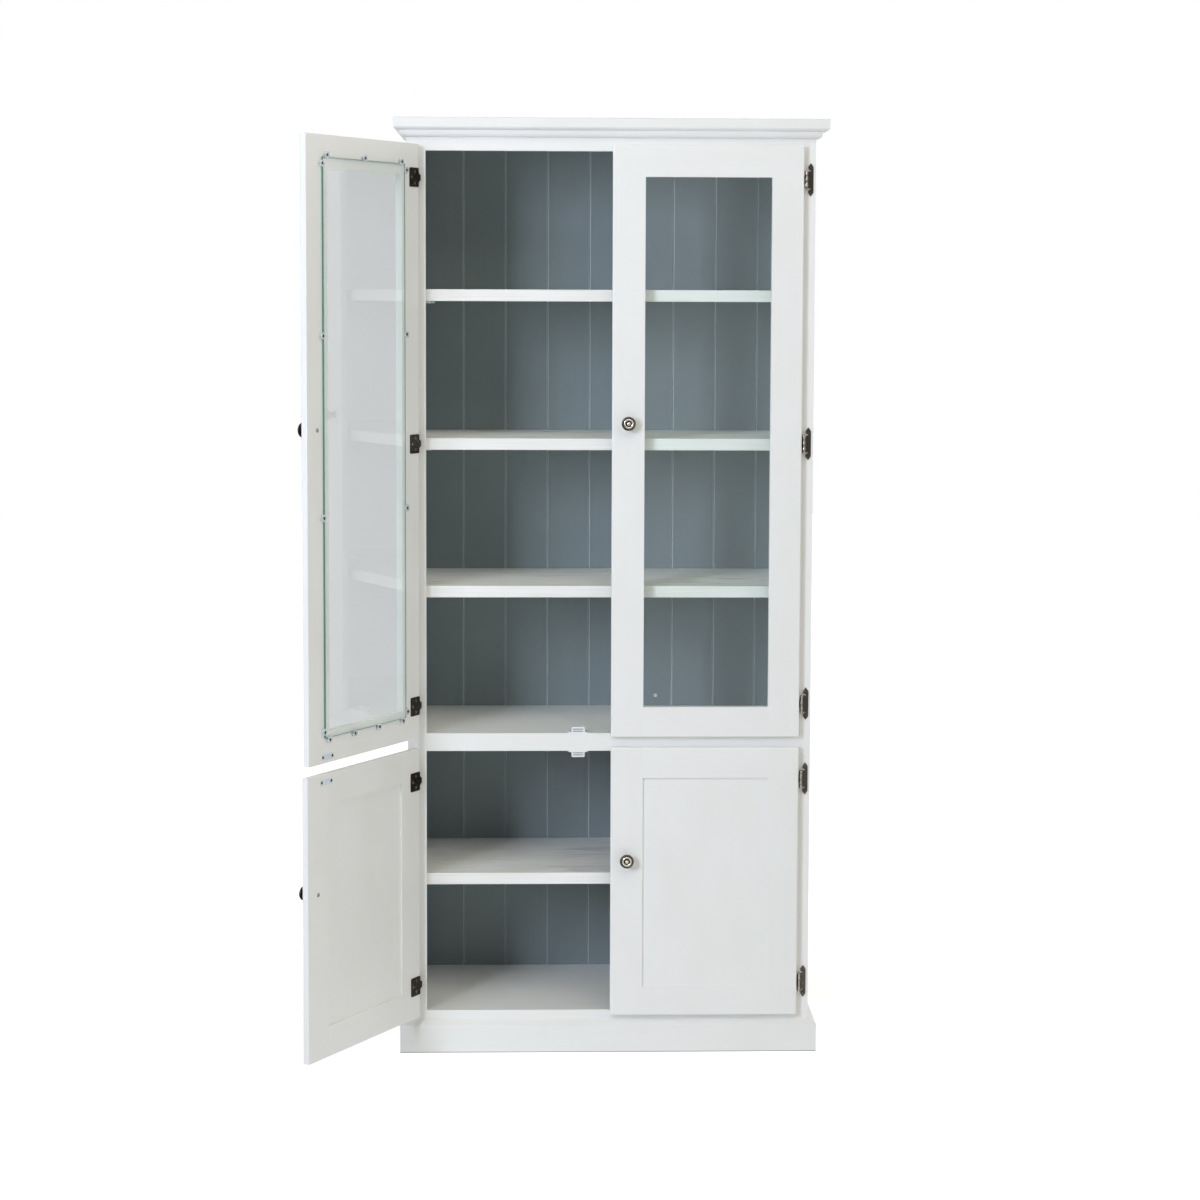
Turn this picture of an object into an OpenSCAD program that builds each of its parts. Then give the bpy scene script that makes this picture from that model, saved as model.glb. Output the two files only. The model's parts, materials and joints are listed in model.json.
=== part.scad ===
// Display cabinet: two glazed doors over two panelled doors on one carcass.
// Millimetres. X runs to the right, Y into the cabinet, Z up. The origin is on the
// floor, under the middle of the face frame's front plane.
// The left pair of doors stands open and the right pair is closed.

/* [Carcass] */
// Height from the floor to the top of the cornice
cab_h = 2000; // [1800:5:2200]
// Width over the side panels
body_w = 864; // [760:2:1000]
// Depth from the face frame's front to the outside of the back
body_d = 385; // [300:1:450]
// Thickness of a side panel
side_t = 16; // [12:0.5:20]
// Thickness of the top panel
top_t = 16; // [12:0.5:22]
// Thickness of the floor board and the middle board
board_t = 18; // [14:0.5:22]
// Depth of the side panels' grooves for the fixed boards
dado = 5; // [3:0.5:7]
// Height of the floor board's top
floor_z = 89; // [82:0.5:110]
// Height of the middle board's top
middle_z = 693; // [600:1:760]

/* [Back boards] */
// Thickness of the back boards
back_t = 9; // [8:0.5:12]
// Distance from one back board to the next
back_pitch = 94.8; // [80:0.2:120]
// Length of a back board's tongue
back_tongue = 5; // [3:0.5:6]
// Width of the chamfer on each long edge of a back board
back_chamfer = 2; // [1:0.25:2.5]
// Height of the back boards' lower end over the floor
back_foot = 12; // [5:1:40]

/* [Face frame] */
// Thickness of the face frame
frame_t = 15; // [13:0.5:22]
// Width of a face frame stile
stile_w = 40; // [36:0.5:50]
// Height of the top rail
top_rail_h = 68; // [60:0.5:90]
// Height of the middle rail
middle_rail_h = 38; // [30:0.5:60]
// Length of the rails' tenons
frame_tenon = 12; // [6:0.5:20]

/* [Cornice] */
// How far the cornice stands out from the body
cornice_out = 27; // [22:0.5:36]
// Height of the cornice's upright band
cornice_band = 18; // [12:0.5:24]
// Height of the cornice's upper round
cornice_upper = 8; // [6:0.5:10]
// Height of the cornice's lower round
cornice_lower = 14; // [10:0.5:15]
// How far the cornice's middle edge stands out from the body
cornice_step = 13.5; // [10:0.5:18]
// How far the cornice's foot stands out from the body
cornice_foot = 3; // [2:0.5:6]

/* [Plinth] */
// How far the plinth stands out from the body
plinth_out = 17; // [12:0.5:22]
// Height of the plinth
plinth_h = 70.5; // [60:0.5:76]
// Height of the slope along the plinth's top
plinth_slope = 10.5; // [4:0.5:16]

/* [Shelves] */
// Thickness of a shelf
shelf_t = 25; // [18:0.5:30]
// Distance from the face frame's front to the shelves' front
shelf_setback = 16; // [15:0.5:60]
// Room at each end of a shelf and behind it
shelf_room = 1; // [0.5:0.25:2]
// Radius along a shelf's front edges
shelf_ease = 1.5; // [0.5:0.25:4]
// Height of the lower shelf's top over the floor board
lower_shelf_rise = 297; // [200:1:380]
// Distance from a shelf's front or back edge to the nearer support
support_inset = 80; // [40:1:110]
// How far a shelf support reaches from the side panel
support_reach = 33; // [20:0.5:40]
// Width of a shelf support
support_w = 14; // [10:0.5:20]
// Thickness of a shelf support
support_t = 5; // [3:0.25:6]
// Diameter of a shelf support's peg
peg_d = 5; // [4:0.25:7]
// Length of a shelf support's peg
peg_l = 9; // [6:0.5:10]

/* [Doors] */
// Thickness of a door
door_t = 15; // [14:0.5:20]
// Room between a closed door's back and the face frame
door_gap = 2; // [1.8:0.1:2.4]
// Room between the two doors of a pair
pair_gap = 5.4; // [2:0.2:8]
// How far a door covers the outer stile
door_lap = 14; // [8:0.5:20]
// How far the upper doors cover the top rail
top_lap = 12; // [8:0.5:18]
// How far the upper doors cover the middle rail
middle_lap = 6; // [4:0.5:10]
// How far the lower doors cover the middle rail
under_lap = 9.5; // [6:0.5:14]
// How far the lower doors cover the bottom rail
floor_lap = 8.2; // [4:0.2:9]
// Radius along a door's front edges
door_ease = 3; // [1:0.25:5]
// Width of a door's meeting stile
meeting_stile = 69; // [60:0.5:80]
// Width of a door's hinge stile
hinge_stile = 67; // [60:0.5:80]
// Height of an upper door's top rail
upper_head = 66; // [60:0.5:80]
// Height of an upper door's bottom rail
upper_foot = 65; // [58:0.5:80]
// Height of a lower door's top rail
lower_head = 66; // [56:0.5:80]
// Height of a lower door's bottom rail
lower_foot = 63; // [56:0.5:80]
// How far a panel lies below the door's faces
panel_recess = 4; // [2:0.25:5]
// Depth of the grooves that hold rails and panel
groove_d = 8; // [6:0.5:12]
// Opening angle of the left upper door as it stands
upper_open = 120.5; // [0:0.5:170]
// Opening angle of the left lower door as it stands
lower_open = 121; // [0:0.5:170]

/* [Glass] */
// Thickness of the glass
glass_t = 4; // [3:0.5:5]
// How far the glass covers the meeting stile
glass_lap_meeting = 15.5; // [8:0.5:20]
// How far the glass covers the hinge stile
glass_lap_hinge = 11; // [8:0.5:20]
// How far the glass covers the door's top rail
glass_lap_top = 22; // [8:0.5:26]
// How far the glass covers the door's bottom rail
glass_lap_bottom = 13.5; // [8:0.5:20]
// Diameter of a glass clip
clip_d = 14; // [12:0.5:16]
// Thickness of a clip over the glass
clip_lip = 2; // [1.5:0.25:3]
// Distance from a clip's screw to the glass
clip_out = 4; // [3.5:0.25:5]
// Distance from the glass's corner to the first clip along a side
clip_corner = 13; // [10:0.5:30]

/* [Hinges] */
// Distance from a door's edge to the hinge axis
axis_out = 5.25; // [4.8:0.05:6]
// Distance from the face frame to the hinge axis
axis_front = 11; // [10.6:0.1:12]
// Diameter of a hinge pin
pin_d = 5; // [4:0.25:5]
// Thickness of a hinge leaf
leaf_t = 1.5; // [1:0.1:1.6]
// Play between the pin and a door's knuckle, on the radius
pin_play = 0.05; // [0.02:0.01:0.1]
// Height of a hinge barrel
barrel_h = 36; // [34:1:46]
// Height of a pin's domed head
pin_dome = 1.5; // [1:0.1:2.5]
// Height of the door leaf's knuckle
knuckle_h = 12; // [10:0.5:16]
// Room between two knuckles
knuckle_room = 0.3; // [0.2:0.1:0.5]
// Width of a door leaf
door_leaf_w = 34; // [28:0.5:40]
// Height of a door leaf
door_leaf_h = 40; // [32:1:50]
// Height of the door leaf's tongue at its root
tongue_h = 20; // [16:0.5:26]
// Height of a frame leaf from tip to tip
frame_leaf_h = 70; // [64:1:80]
// Distance from the hinge axis to the frame leaf's outer edge
frame_leaf_out = 15.5; // [14:0.5:17]
// Radius of a frame leaf's lobe round a screw
lobe_r = 5.6; // [4.5:0.1:5.8]
// Distance from the hinge's middle to a frame leaf's screw
frame_screw_rise = 25.4; // [24.5:0.1:26]
// Distance from a door's end to the middle of the hinge
hinge_inset = 70; // [60:1:90]

/* [Knobs] */
// Diameter of a knob
knob_d = 30; // [26:0.5:34]
// How far a knob stands out from the door
knob_out = 27; // [24:0.5:32]
// Diameter of a knob's foot
knob_foot_d = 16; // [12:0.5:20]
// Diameter of a knob's neck
knob_neck_d = 11; // [9:0.5:14]
// Height of the upper knobs over the upper doors' lower edge
upper_knob_rise = 672; // [400:1:800]
// Height of the lower knobs over the lower doors' lower edge
lower_knob_rise = 341; // [200:1:420]

/* [Catches] */
// Distance from the middle of the cabinet to a catch
catch_x = 67; // [50:0.5:90]
// Width of a catch's case
catch_w = 28; // [24:0.5:34]
// Height of a catch's case
catch_h = 13.5; // [12:0.5:16]
// Depth of a catch's case
catch_depth = 15; // [13:0.5:18]
// How far a catch stands out from the face frame
catch_proud = 0.4; // [0:0.1:0.5]
// Width over a catch's two ears
catch_ears = 44; // [40:0.5:50]
// Thickness of a catch's ears
catch_ear_t = 3; // [2.5:0.25:4]
// Distance between the two screws of a catch
catch_pitch = 35.7; // [34.5:0.1:37]
// Width of a strike plate
strike_w = 42; // [38:0.5:48]
// Height of a strike plate
strike_h = 12; // [10:0.5:14]
// Thickness of a strike plate
strike_t = 1; // [0.8:0.1:1.2]
// Distance between the two screws of a strike plate
strike_pitch = 33; // [30:0.5:34]

/* [Screws] */
// Diameter of a screw's head
head_d = 5.6; // [5:0.2:6]
// Diameter of a screw's shank
shank_d = 2.8; // [2.4:0.1:3]
// Length of the screws in the doors and the frame
screw_l = 11; // [9:0.5:12]
// How far a clip's screw goes into the door
clip_screw_bite = 9; // [7:0.5:10]
// Play round a screw and in a groove
fit = 0.1; // [0.05:0.01:0.2]

/* [Hidden] */
$fn = 48;
eps = 0.5;

paint = [0.93, 0.93, 0.92];
paint_back = [0.56, 0.62, 0.64];
bronze = [0.17, 0.15, 0.13];
steel = [0.72, 0.74, 0.76];
plastic = [0.95, 0.96, 0.97];
clear = [0.85, 0.93, 0.95, 0.6];
glazing = [0.62, 0.82, 0.76, 0.35];

UPPER = true;
LOWER = false;
RIGHT = 1;
LEFT = -1;

// Carcass
half_w = body_w / 2;
inner_x = half_w - side_t;
back_y = body_d - back_t;
opening_x = half_w - stile_w;
opening_top = cab_h - top_rail_h;
middle_under = middle_z - middle_rail_h;
top_under = cab_h - top_t;

// Shelves: the three upper ones split the upper bay evenly
upper_pitch = (opening_top + shelf_t - middle_z) / 4;
lower_shelf_z = floor_z + lower_shelf_rise;
shelf_d = back_y - shelf_room - shelf_setback;
shelf_tops = concat([for (i = [3, 2, 1]) middle_z + i * upper_pitch], [lower_shelf_z]);
support_ys = [shelf_setback + support_inset, back_y - shelf_room - support_inset];

// Doors
door_in = pair_gap / 2;
door_out = opening_x + door_lap;
door_w = door_out - door_in;
door_front = -door_gap - door_t;
tongue_t = door_t - 2 * panel_recess;
function door_z(upper) = upper ? middle_z - middle_lap : floor_z - floor_lap;
function door_top(upper) = upper ? opening_top + top_lap : middle_under + under_lap;
function door_h(upper) = door_top(upper) - door_z(upper);
function head_h(upper) = upper ? upper_head : lower_head;
function foot_h(upper) = upper ? upper_foot : lower_foot;
function knob_rise(upper) = upper ? upper_knob_rise : lower_knob_rise;

// Glass, in the door's own frame
glass_x0 = meeting_stile - glass_lap_meeting;
glass_x1 = door_w - hinge_stile + glass_lap_hinge;
glass_z0 = upper_foot - glass_lap_bottom;
glass_z1 = door_h(UPPER) - upper_head + glass_lap_top;
side_clip_shares = [0, 0.38, 0.7, 1];

// Hinges
axis_x = door_out + axis_out;
axis_y = -axis_front;
barrel_r = pin_d / 2 + leaf_t;
bend_r = 3;
frame_leaf_x = axis_x + frame_leaf_out - lobe_r;
leaf_screw_in = 14;
leaf_screw_edge = 8;
function hinge_rises(upper) = upper
  ? [hinge_inset, door_h(upper) / 2, door_h(upper) - hinge_inset]
  : [hinge_inset, door_h(upper) - hinge_inset];
function leaf_screws() = [
  [-leaf_screw_in, door_leaf_h / 2 - leaf_screw_edge],
  [-leaf_screw_in, leaf_screw_edge - door_leaf_h / 2],
  [leaf_screw_edge - door_leaf_w, 0]
];

// Knob screws, from the door's back
knob_screw_d = 4;
knob_screw_l = 27;
knob_screw_head_d = 8;
knob_screw_head_h = 1.6;
clip_screw_l = glass_t + clip_lip + clip_screw_bite;

// Catches: each stands on or hangs under the middle rail
pole_side = 3;
pole_w = catch_w - 2 * pole_side;
pole_t = 1.4;
pole_gap = 3;
case_wall = 2;
strike_rise_upper = middle_lap + catch_h / 2;
function strike_rise(upper) = upper
  ? strike_rise_upper
  : door_h(LOWER) - under_lap - catch_h / 2;

// A rectangle whose two corners at y = 0 are rounded
module eased(w, d, r) {
  difference() {
    square([w, d]);
    difference() {
      translate([-eps, -eps]) square(r + eps);
      translate([r, r]) circle(r);
    }
    difference() {
      translate([w - r, -eps]) square(r + eps);
      translate([w - r, r]) circle(r);
    }
  }
}

// Extrudes a (Y, Z) section along X
module along_x(length) {
  rotate([90, 0, 90]) linear_extrude(length) children();
}

// Extrudes an (X, Z) section along +Y
module along_y(length) {
  translate([0, length, 0]) rotate([90, 0, 0]) linear_extrude(length) children();
}

// A slab with its front edges rounded on all four sides, its front at y = 0
module eased_slab(w, d, h, r) {
  intersection() {
    linear_extrude(h) eased(w, d, r);
    along_x(w) mirror([1, 0]) rotate(90) eased(h, d, r);
  }
}

// Countersunk wood screw along +Z, its head's top at z = 0
module screw(length = screw_l, play = 0) {
  cone = (head_d - shank_d) / 2;
  cylinder(h = cone, d1 = head_d + 2 * play, d2 = shank_d + 2 * play);
  cylinder(h = length + play, d = shank_d + 2 * play);
}

module mirrored_pair() {
  children();
  mirror([1, 0, 0]) children();
}

// Carcass pieces
module side_panel() {
  difference() {
    translate([inner_x, frame_t, 0]) cube([side_t, body_d - frame_t, top_under]);
    for (z = [floor_z, middle_z])
      translate([inner_x - eps, frame_t - eps, z - board_t])
        cube([dado + eps, back_y - frame_t + eps, board_t]);
    at_supports(shelf_tops)
      rotate([0, 90, 0]) translate([0, 0, -eps]) cylinder(h = peg_l + 1 + eps, d = peg_d + fit);
  }
}

module fixed_board(z) {
  translate([-inner_x - dado, frame_t, z - board_t])
    cube([2 * (inner_x + dado), back_y - frame_t, board_t]);
}

// One tongued and grooved board of the back, as a plan section
module board_section(w, groove, tongue) {
  joint = 0.2;
  slot_t = back_t / 3;
  c = back_chamfer;
  difference() {
    polygon([[joint, c], [joint + c, 0], [w - joint - c, 0], [w - joint, c],
             [w - joint, back_t], [joint, back_t]]);
    if (groove)
      translate([-eps, back_t / 2 - slot_t / 2 - fit])
        square([back_tongue + joint + eps + fit, slot_t + 2 * fit]);
  }
  if (tongue)
    translate([w - joint - eps, back_t / 2 - slot_t / 2])
      square([back_tongue + joint + eps, slot_t]);
}

module back_board_row() {
  room = 2 * inner_x;
  count = ceil((room - 3 * back_tongue) / back_pitch);
  for (i = [0:count - 1]) {
    last = i == count - 1;
    translate([-inner_x + i * back_pitch, back_y, back_foot])
      linear_extrude(top_under - back_foot)
        board_section(last ? room - i * back_pitch : back_pitch, i > 0, !last);
  }
}

// Face frame: rails tenoned into full-height stiles
module frame_tenons(z0, z1, play) {
  shoulder = 6;
  for (s = [-1, 1])
    translate([s * opening_x - frame_tenon - play, frame_t / 3 - play, z0 + shoulder - play])
      cube([2 * (frame_tenon + play), frame_t / 3 + 2 * play, z1 - z0 - 2 * (shoulder - play)]);
}

module frame_rail(z0, z1) {
  translate([-opening_x, 0, z0]) cube([2 * opening_x, frame_t, z1 - z0]);
  frame_tenons(z0, z1, 0);
}

module frame_stile() {
  difference() {
    translate([opening_x, 0, 0]) cube([stile_w, frame_t, cab_h]);
    frame_tenons(0, floor_z, fit);
    frame_tenons(middle_under, middle_z, fit);
    frame_tenons(opening_top, cab_h, fit);
    at_frame_leaf_screws() screw(play = fit);
  }
}

// Cornice and plinth: (out, Z) profiles, mitred at the front corners
module cornice_profile() {
  band_z = cab_h - cornice_band;
  step_z = band_z - cornice_upper;
  foot_z = step_z - cornice_lower;
  upper_run = cornice_out - cornice_step;
  lower_run = cornice_step - cornice_foot;
  ease = 1.5;
  polygon(concat(
    [[0, foot_z], [cornice_foot, foot_z]],
    [for (i = [1:8]) [cornice_foot + lower_run * sin(i * 90 / 8),
                      foot_z + 0.75 * cornice_lower * (1 - cos(i * 90 / 8))]],
    [[cornice_step, step_z]],
    [for (i = [1:6]) [cornice_step + upper_run * sin(i * 90 / 6),
                      step_z + cornice_upper * (1 - cos(i * 90 / 6))]],
    [[cornice_out, cab_h - ease], [cornice_out - ease, cab_h], [0, cab_h]]
  ));
}

module plinth_profile() {
  polygon([[0, 0], [plinth_out, 0], [plinth_out, plinth_h - plinth_slope], [0, plinth_h]]);
}

module front_moulding(out) {
  intersection() {
    translate([-half_w - out, 0, 0]) along_x(body_w + 2 * out) mirror([1, 0]) children();
    linear_extrude(cab_h)
      polygon([[-half_w, 0], [half_w, 0], [half_w + out, -out], [-half_w - out, -out]]);
  }
}

module side_moulding(out) {
  intersection() {
    translate([half_w, -out, 0]) along_y(body_d + out) children();
    linear_extrude(cab_h)
      polygon([[half_w, 0], [half_w + out, -out], [half_w + out, body_d], [half_w, body_d]]);
  }
}

// Shelves
module shelf(top_z) {
  w = 2 * (inner_x - shelf_room);
  translate([-w / 2, shelf_setback, top_z - shelf_t])
    along_x(w) mirror([1, 0]) rotate(90) eased(shelf_t, shelf_d, shelf_ease);
}

// The place of each support's peg in the right side panel, for shelves with these tops
module at_supports(tops) {
  for (top_z = tops, y = support_ys)
    translate([inner_x, y, top_z - shelf_t - support_t / 2]) children();
}

// A support: a peg, a plate with a round end, and a flange down the side panel
module support() {
  r = support_w / 2;
  flange_t = 2;
  flange_h = 9;
  rotate([0, 90, 0]) cylinder(h = peg_l, d = peg_d);
  translate([0, 0, -support_t / 2]) {
    translate([-support_reach + r, -r, 0]) cube([support_reach - r, support_w, support_t]);
    translate([-support_reach + r, 0, 0]) cylinder(h = support_t, r = r);
    translate([-flange_t, -r, -flange_h]) cube([flange_t, support_w, flange_h]);
  }
}

// Draws a door's pieces in place. They are modelled as the right door, closed
module hang(side, upper, angle = 0) {
  mirror([side < 0 ? 1 : 0, 0, 0])
    translate([axis_x, axis_y, 0])
      rotate([0, 0, angle])
        translate([-axis_x, -axis_y, 0])
          translate([door_in, door_front, door_z(upper)]) children();
}

// Places on a door's back, with +Z driven into the door
module on_back(x, z, lift = 0) {
  translate([x, door_t + lift, z]) rotate([90, 0, 0]) children();
}

module at_leaf_screws(upper) {
  for (rise = hinge_rises(upper), p = leaf_screws())
    on_back(door_w + p[0], rise + p[1], leaf_t) children();
}

module at_strike_screws(upper) {
  for (s = [-1, 1])
    on_back(catch_x - door_in + s * strike_pitch / 2, strike_rise(upper), strike_t) children();
}

module at_clips() {
  for (i = [0:2])
    on_back(glass_x0 + clip_corner + i * (glass_x1 - glass_x0 - 2 * clip_corner) / 2,
            glass_z1 + clip_out) children();
  for (i = [0:3])
    on_back(glass_x0 + clip_corner + i * (glass_x1 - glass_x0 - 2 * clip_corner) / 3,
            glass_z0 - clip_out) children();
  for (share = side_clip_shares, x = [glass_x0 - clip_out, glass_x1 + clip_out])
    on_back(x, glass_z0 + clip_corner + share * (glass_z1 - glass_z0 - 2 * clip_corner))
      children();
}

module at_clip_screws() {
  at_clips() translate([0, 0, -glass_t - clip_lip]) children();
}

module knob_screw(upper, play) {
  on_back(meeting_stile / 2, knob_rise(upper), knob_screw_head_h) {
    cylinder(h = knob_screw_head_h, d = knob_screw_head_d + 10 * play);
    cylinder(h = knob_screw_l + play, d = knob_screw_d + 2 * play);
  }
}

module door_screws(upper) {
  at_leaf_screws(upper) screw();
  at_strike_screws(upper) screw();
  if (upper) at_clip_screws() screw(clip_screw_l);
  knob_screw(upper, 0);
}

module door_holes(upper) {
  at_leaf_screws(upper) screw(play = fit);
  at_strike_screws(upper) screw(play = fit);
  if (upper) at_clip_screws() screw(clip_screw_l, fit);
  knob_screw(upper, fit);
}

// Grooves for a door's rails, and on a lower door for its panel
module stile_grooves(upper, play) {
  h = door_h(upper);
  for (x = [meeting_stile - groove_d - play, door_w - hinge_stile - eps])
    translate([x, panel_recess - play, 0])
      if (upper) {
        translate([0, 0, -eps]) cube([groove_d + play + eps, tongue_t + 2 * play, upper_foot + eps]);
        translate([0, 0, h - upper_head])
          cube([groove_d + play + eps, tongue_t + 2 * play, upper_head + eps]);
      } else {
        translate([0, 0, -eps]) cube([groove_d + play + eps, tongue_t + 2 * play, h + 2 * eps]);
      }
}

module door_stiles(upper) {
  h = door_h(upper);
  difference() {
    intersection() {
      eased_slab(door_w, door_t, h, door_ease);
      union() {
        cube([meeting_stile, door_t, h]);
        translate([door_w - hinge_stile, 0, 0]) cube([hinge_stile, door_t, h]);
      }
    }
    stile_grooves(upper, fit);
    door_holes(upper);
  }
}

module door_rails(upper) {
  h = door_h(upper);
  span = door_w - meeting_stile - hinge_stile;
  difference() {
    union() {
      intersection() {
        eased_slab(door_w, door_t, h, door_ease);
        union() {
          translate([meeting_stile, 0, 0]) cube([span, door_t, foot_h(upper)]);
          translate([meeting_stile, 0, h - head_h(upper)]) cube([span, door_t, head_h(upper)]);
        }
      }
      for (z = [0, h - head_h(upper)])
        translate([meeting_stile - groove_d, panel_recess, z])
          cube([span + 2 * groove_d, tongue_t, z == 0 ? foot_h(upper) : head_h(upper)]);
    }
    if (!upper)
      translate([meeting_stile - groove_d - eps, panel_recess - fit, foot_h(upper) - groove_d - fit])
        cube([span + 2 * (groove_d + eps), tongue_t + 2 * fit,
              h - foot_h(upper) - head_h(upper) + 2 * (groove_d + fit)]);
    door_holes(upper);
  }
}

module door_panel() {
  edge = groove_d - 0.3;
  h = door_h(LOWER);
  translate([meeting_stile - edge, panel_recess, lower_foot - edge])
    cube([door_w - meeting_stile - hinge_stile + 2 * edge, tongue_t,
          h - lower_foot - lower_head + 2 * edge]);
}

module door_glass() {
  translate([glass_x0, door_t, glass_z0])
    cube([glass_x1 - glass_x0, glass_t, glass_z1 - glass_z0]);
}

// Clear clips stand on the door's back and reach over the glass
module door_clips() {
  difference() {
    at_clips() translate([0, 0, -glass_t - clip_lip]) cylinder(h = glass_t + clip_lip, d = clip_d);
    translate([glass_x0 - fit, door_t - eps, glass_z0 - fit])
      cube([glass_x1 - glass_x0 + 2 * fit, glass_t + eps, glass_z1 - glass_z0 + 2 * fit]);
    at_clip_screws() screw(clip_screw_l, fit);
  }
}

// Turned knob: foot, neck, a mushroom head and a ringed face with a button
module knob_shape() {
  r = knob_d / 2;
  neck_r = knob_neck_d / 2;
  foot_h = 1.5;
  cove_h = 4;
  cap_h = 9;
  rim = knob_out - 8;
  face = knob_out - 3;
  ring_r = r - 5.8;
  ring_floor = face - 1.2;
  button_r = 4;
  rise = 2;
  rotate_extrude()
    polygon(concat(
      [[0, 0], [knob_foot_d / 2, 0], [knob_foot_d / 2, foot_h]],
      [for (i = [1:6]) [neck_r + (knob_foot_d / 2 - neck_r) * (1 - sin(i * 90 / 6)),
                        foot_h + cove_h * (1 - cos(i * 90 / 6))]],
      [for (i = [0:8]) [neck_r + (r - neck_r) * (1 - cos(i * 90 / 8)),
                        rim - cap_h + cap_h * sin(i * 90 / 8)]],
      [for (i = [0:6]) [r - 1.6 + 1.6 * cos(i * 90 / 6), rim + 1 + (face - rim - 1) * sin(i * 90 / 6)]],
      [[ring_r + 1.8, face], [ring_r + 1, ring_floor], [ring_r, ring_floor]],
      [for (i = [0:6]) [ring_r - (ring_r - button_r) * i / 6, ring_floor + rise * sin(i * 180 / 6)]],
      [[button_r, face - 1]],
      [for (i = [0:6]) [button_r * cos(i * 90 / 6), knob_out - rise + rise * sin(i * 90 / 6)]]
    ));
}

module door_knob(upper) {
  difference() {
    translate([meeting_stile / 2, 0, knob_rise(upper)]) rotate([90, 0, 0]) knob_shape();
    knob_screw(upper, fit);
  }
}

module door_strike(upper) {
  difference() {
    translate([catch_x - door_in - strike_w / 2, door_t, strike_rise(upper) - strike_h / 2])
      cube([strike_w, strike_t, strike_h]);
    at_strike_screws(upper) screw(play = fit);
  }
}

// Plan section of a knuckle with the strip that bends down to a leaf at y = leaf_y
module knuckle_plan(leaf_y, bore_r, toward) {
  drop = leaf_y - axis_y;
  difference() {
    union() {
      circle(barrel_r);
      difference() {
        translate([barrel_r - leaf_t, 0]) square([leaf_t, drop]);
        if (toward < 0) bend_cut(barrel_r, drop, 1);
        else bend_cut(barrel_r - leaf_t, drop, -1);
      }
    }
    circle(bore_r);
  }
}

// Takes the sharp corner off a bend
module bend_cut(x, y, s) {
  cut_r = s > 0 ? bend_r : bend_r / 2;
  difference() {
    translate([x - (s > 0 ? cut_r : 0) - (s > 0 ? 0 : eps), y - cut_r])
      square([cut_r + eps, cut_r + eps]);
    translate([x - s * cut_r, y - cut_r]) circle(cut_r);
  }
}

// A door's leaf: a rounded plate on the door's back, and a tongue rolled round the pin
module door_leaf() {
  r = 3;
  root = tongue_h / 2;
  neck = knuckle_h / 2;
  tip = axis_out + barrel_r - bend_r;
  difference() {
    union() {
      along_y(leaf_t) {
        difference() {
          translate([-door_leaf_w, -door_leaf_h / 2]) square([door_leaf_w, door_leaf_h]);
          for (x = [0, 1], z = [0, 1])
            mirror([0, z]) translate([x == 0 ? -door_leaf_w : 0, door_leaf_h / 2])
              mirror([x, 0]) difference() {
                translate([-eps, -r]) square(r + eps);
                translate([r, -r]) circle(r);
              }
        }
        polygon([[-1, -root], [0, -root], [axis_out - 0.3, -neck], [tip, -neck],
                 [tip, neck], [axis_out - 0.3, neck], [0, root], [-1, root]]);
      }
      translate([axis_out, -axis_front + door_gap, -neck]) linear_extrude(knuckle_h) {
        knuckle_plan(-door_gap + leaf_t, pin_d / 2 + pin_play, -1);
        difference() {
          translate([barrel_r - bend_r, axis_front - door_gap]) square([bend_r, leaf_t]);
          bend_cut(barrel_r, axis_front - door_gap + leaf_t, 1);
        }
      }
    }
    for (p = leaf_screws())
      translate([p[0], leaf_t, p[1]]) rotate([90, 0, 0]) screw(play = fit);
  }
}

module door_leaves(upper) {
  for (rise = hinge_rises(upper)) translate([door_w, door_t, rise]) door_leaf();
}

// A frame leaf's outline: a plate with a round lobe and a point at each end
module frame_leaf_outline() {
  x0 = axis_x + barrel_r - leaf_t;
  x1 = axis_x + frame_leaf_out;
  half = barrel_h / 2;
  point = frame_leaf_h / 2 - frame_screw_rise;
  turn = acos(lobe_r / point);
  notch = knuckle_h / 2 + knuckle_room;
  difference() {
    union() {
      translate([x0, -half]) square([x1 - x0, 2 * half]);
      translate([frame_leaf_x, -frame_screw_rise]) square([lobe_r, 2 * frame_screw_rise]);
      for (s = [-1, 1])
        translate([frame_leaf_x, s * frame_screw_rise]) {
          circle(lobe_r);
          polygon([[-lobe_r * sin(turn), s * lobe_r * cos(turn)], [0, s * point],
                   [lobe_r * sin(turn), s * lobe_r * cos(turn)]]);
        }
    }
    translate([x0 - eps, -notch]) square([2 * leaf_t + eps, 2 * notch]);
  }
}

module frame_leaf() {
  low = knuckle_h / 2 + knuckle_room;
  difference() {
    union() {
      translate([0, -leaf_t, 0]) along_y(leaf_t) difference() {
        frame_leaf_outline();
        for (s = [-1, 1])
          translate([axis_x, s * (barrel_h / 2 + low) / 2 - (barrel_h / 2 - low) / 2])
            square([barrel_r, barrel_h / 2 - low]);
      }
      for (s = [0, 1]) mirror([0, 0, s])
        translate([axis_x, axis_y, low]) linear_extrude(barrel_h / 2 - low)
          knuckle_plan(0, pin_d / 2, 1);
    }
    for (s = [-1, 1])
      translate([frame_leaf_x, -leaf_t, s * frame_screw_rise]) rotate([-90, 0, 0]) screw(play = fit);
  }
}

module at_frame_hinges() {
  for (upper = [UPPER, LOWER], rise = hinge_rises(upper))
    translate([0, 0, door_z(upper) + rise]) children();
}

module at_frame_leaf_screws() {
  at_frame_hinges()
    for (s = [-1, 1])
      translate([frame_leaf_x, -leaf_t, s * frame_screw_rise]) rotate([-90, 0, 0]) children();
}

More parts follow.
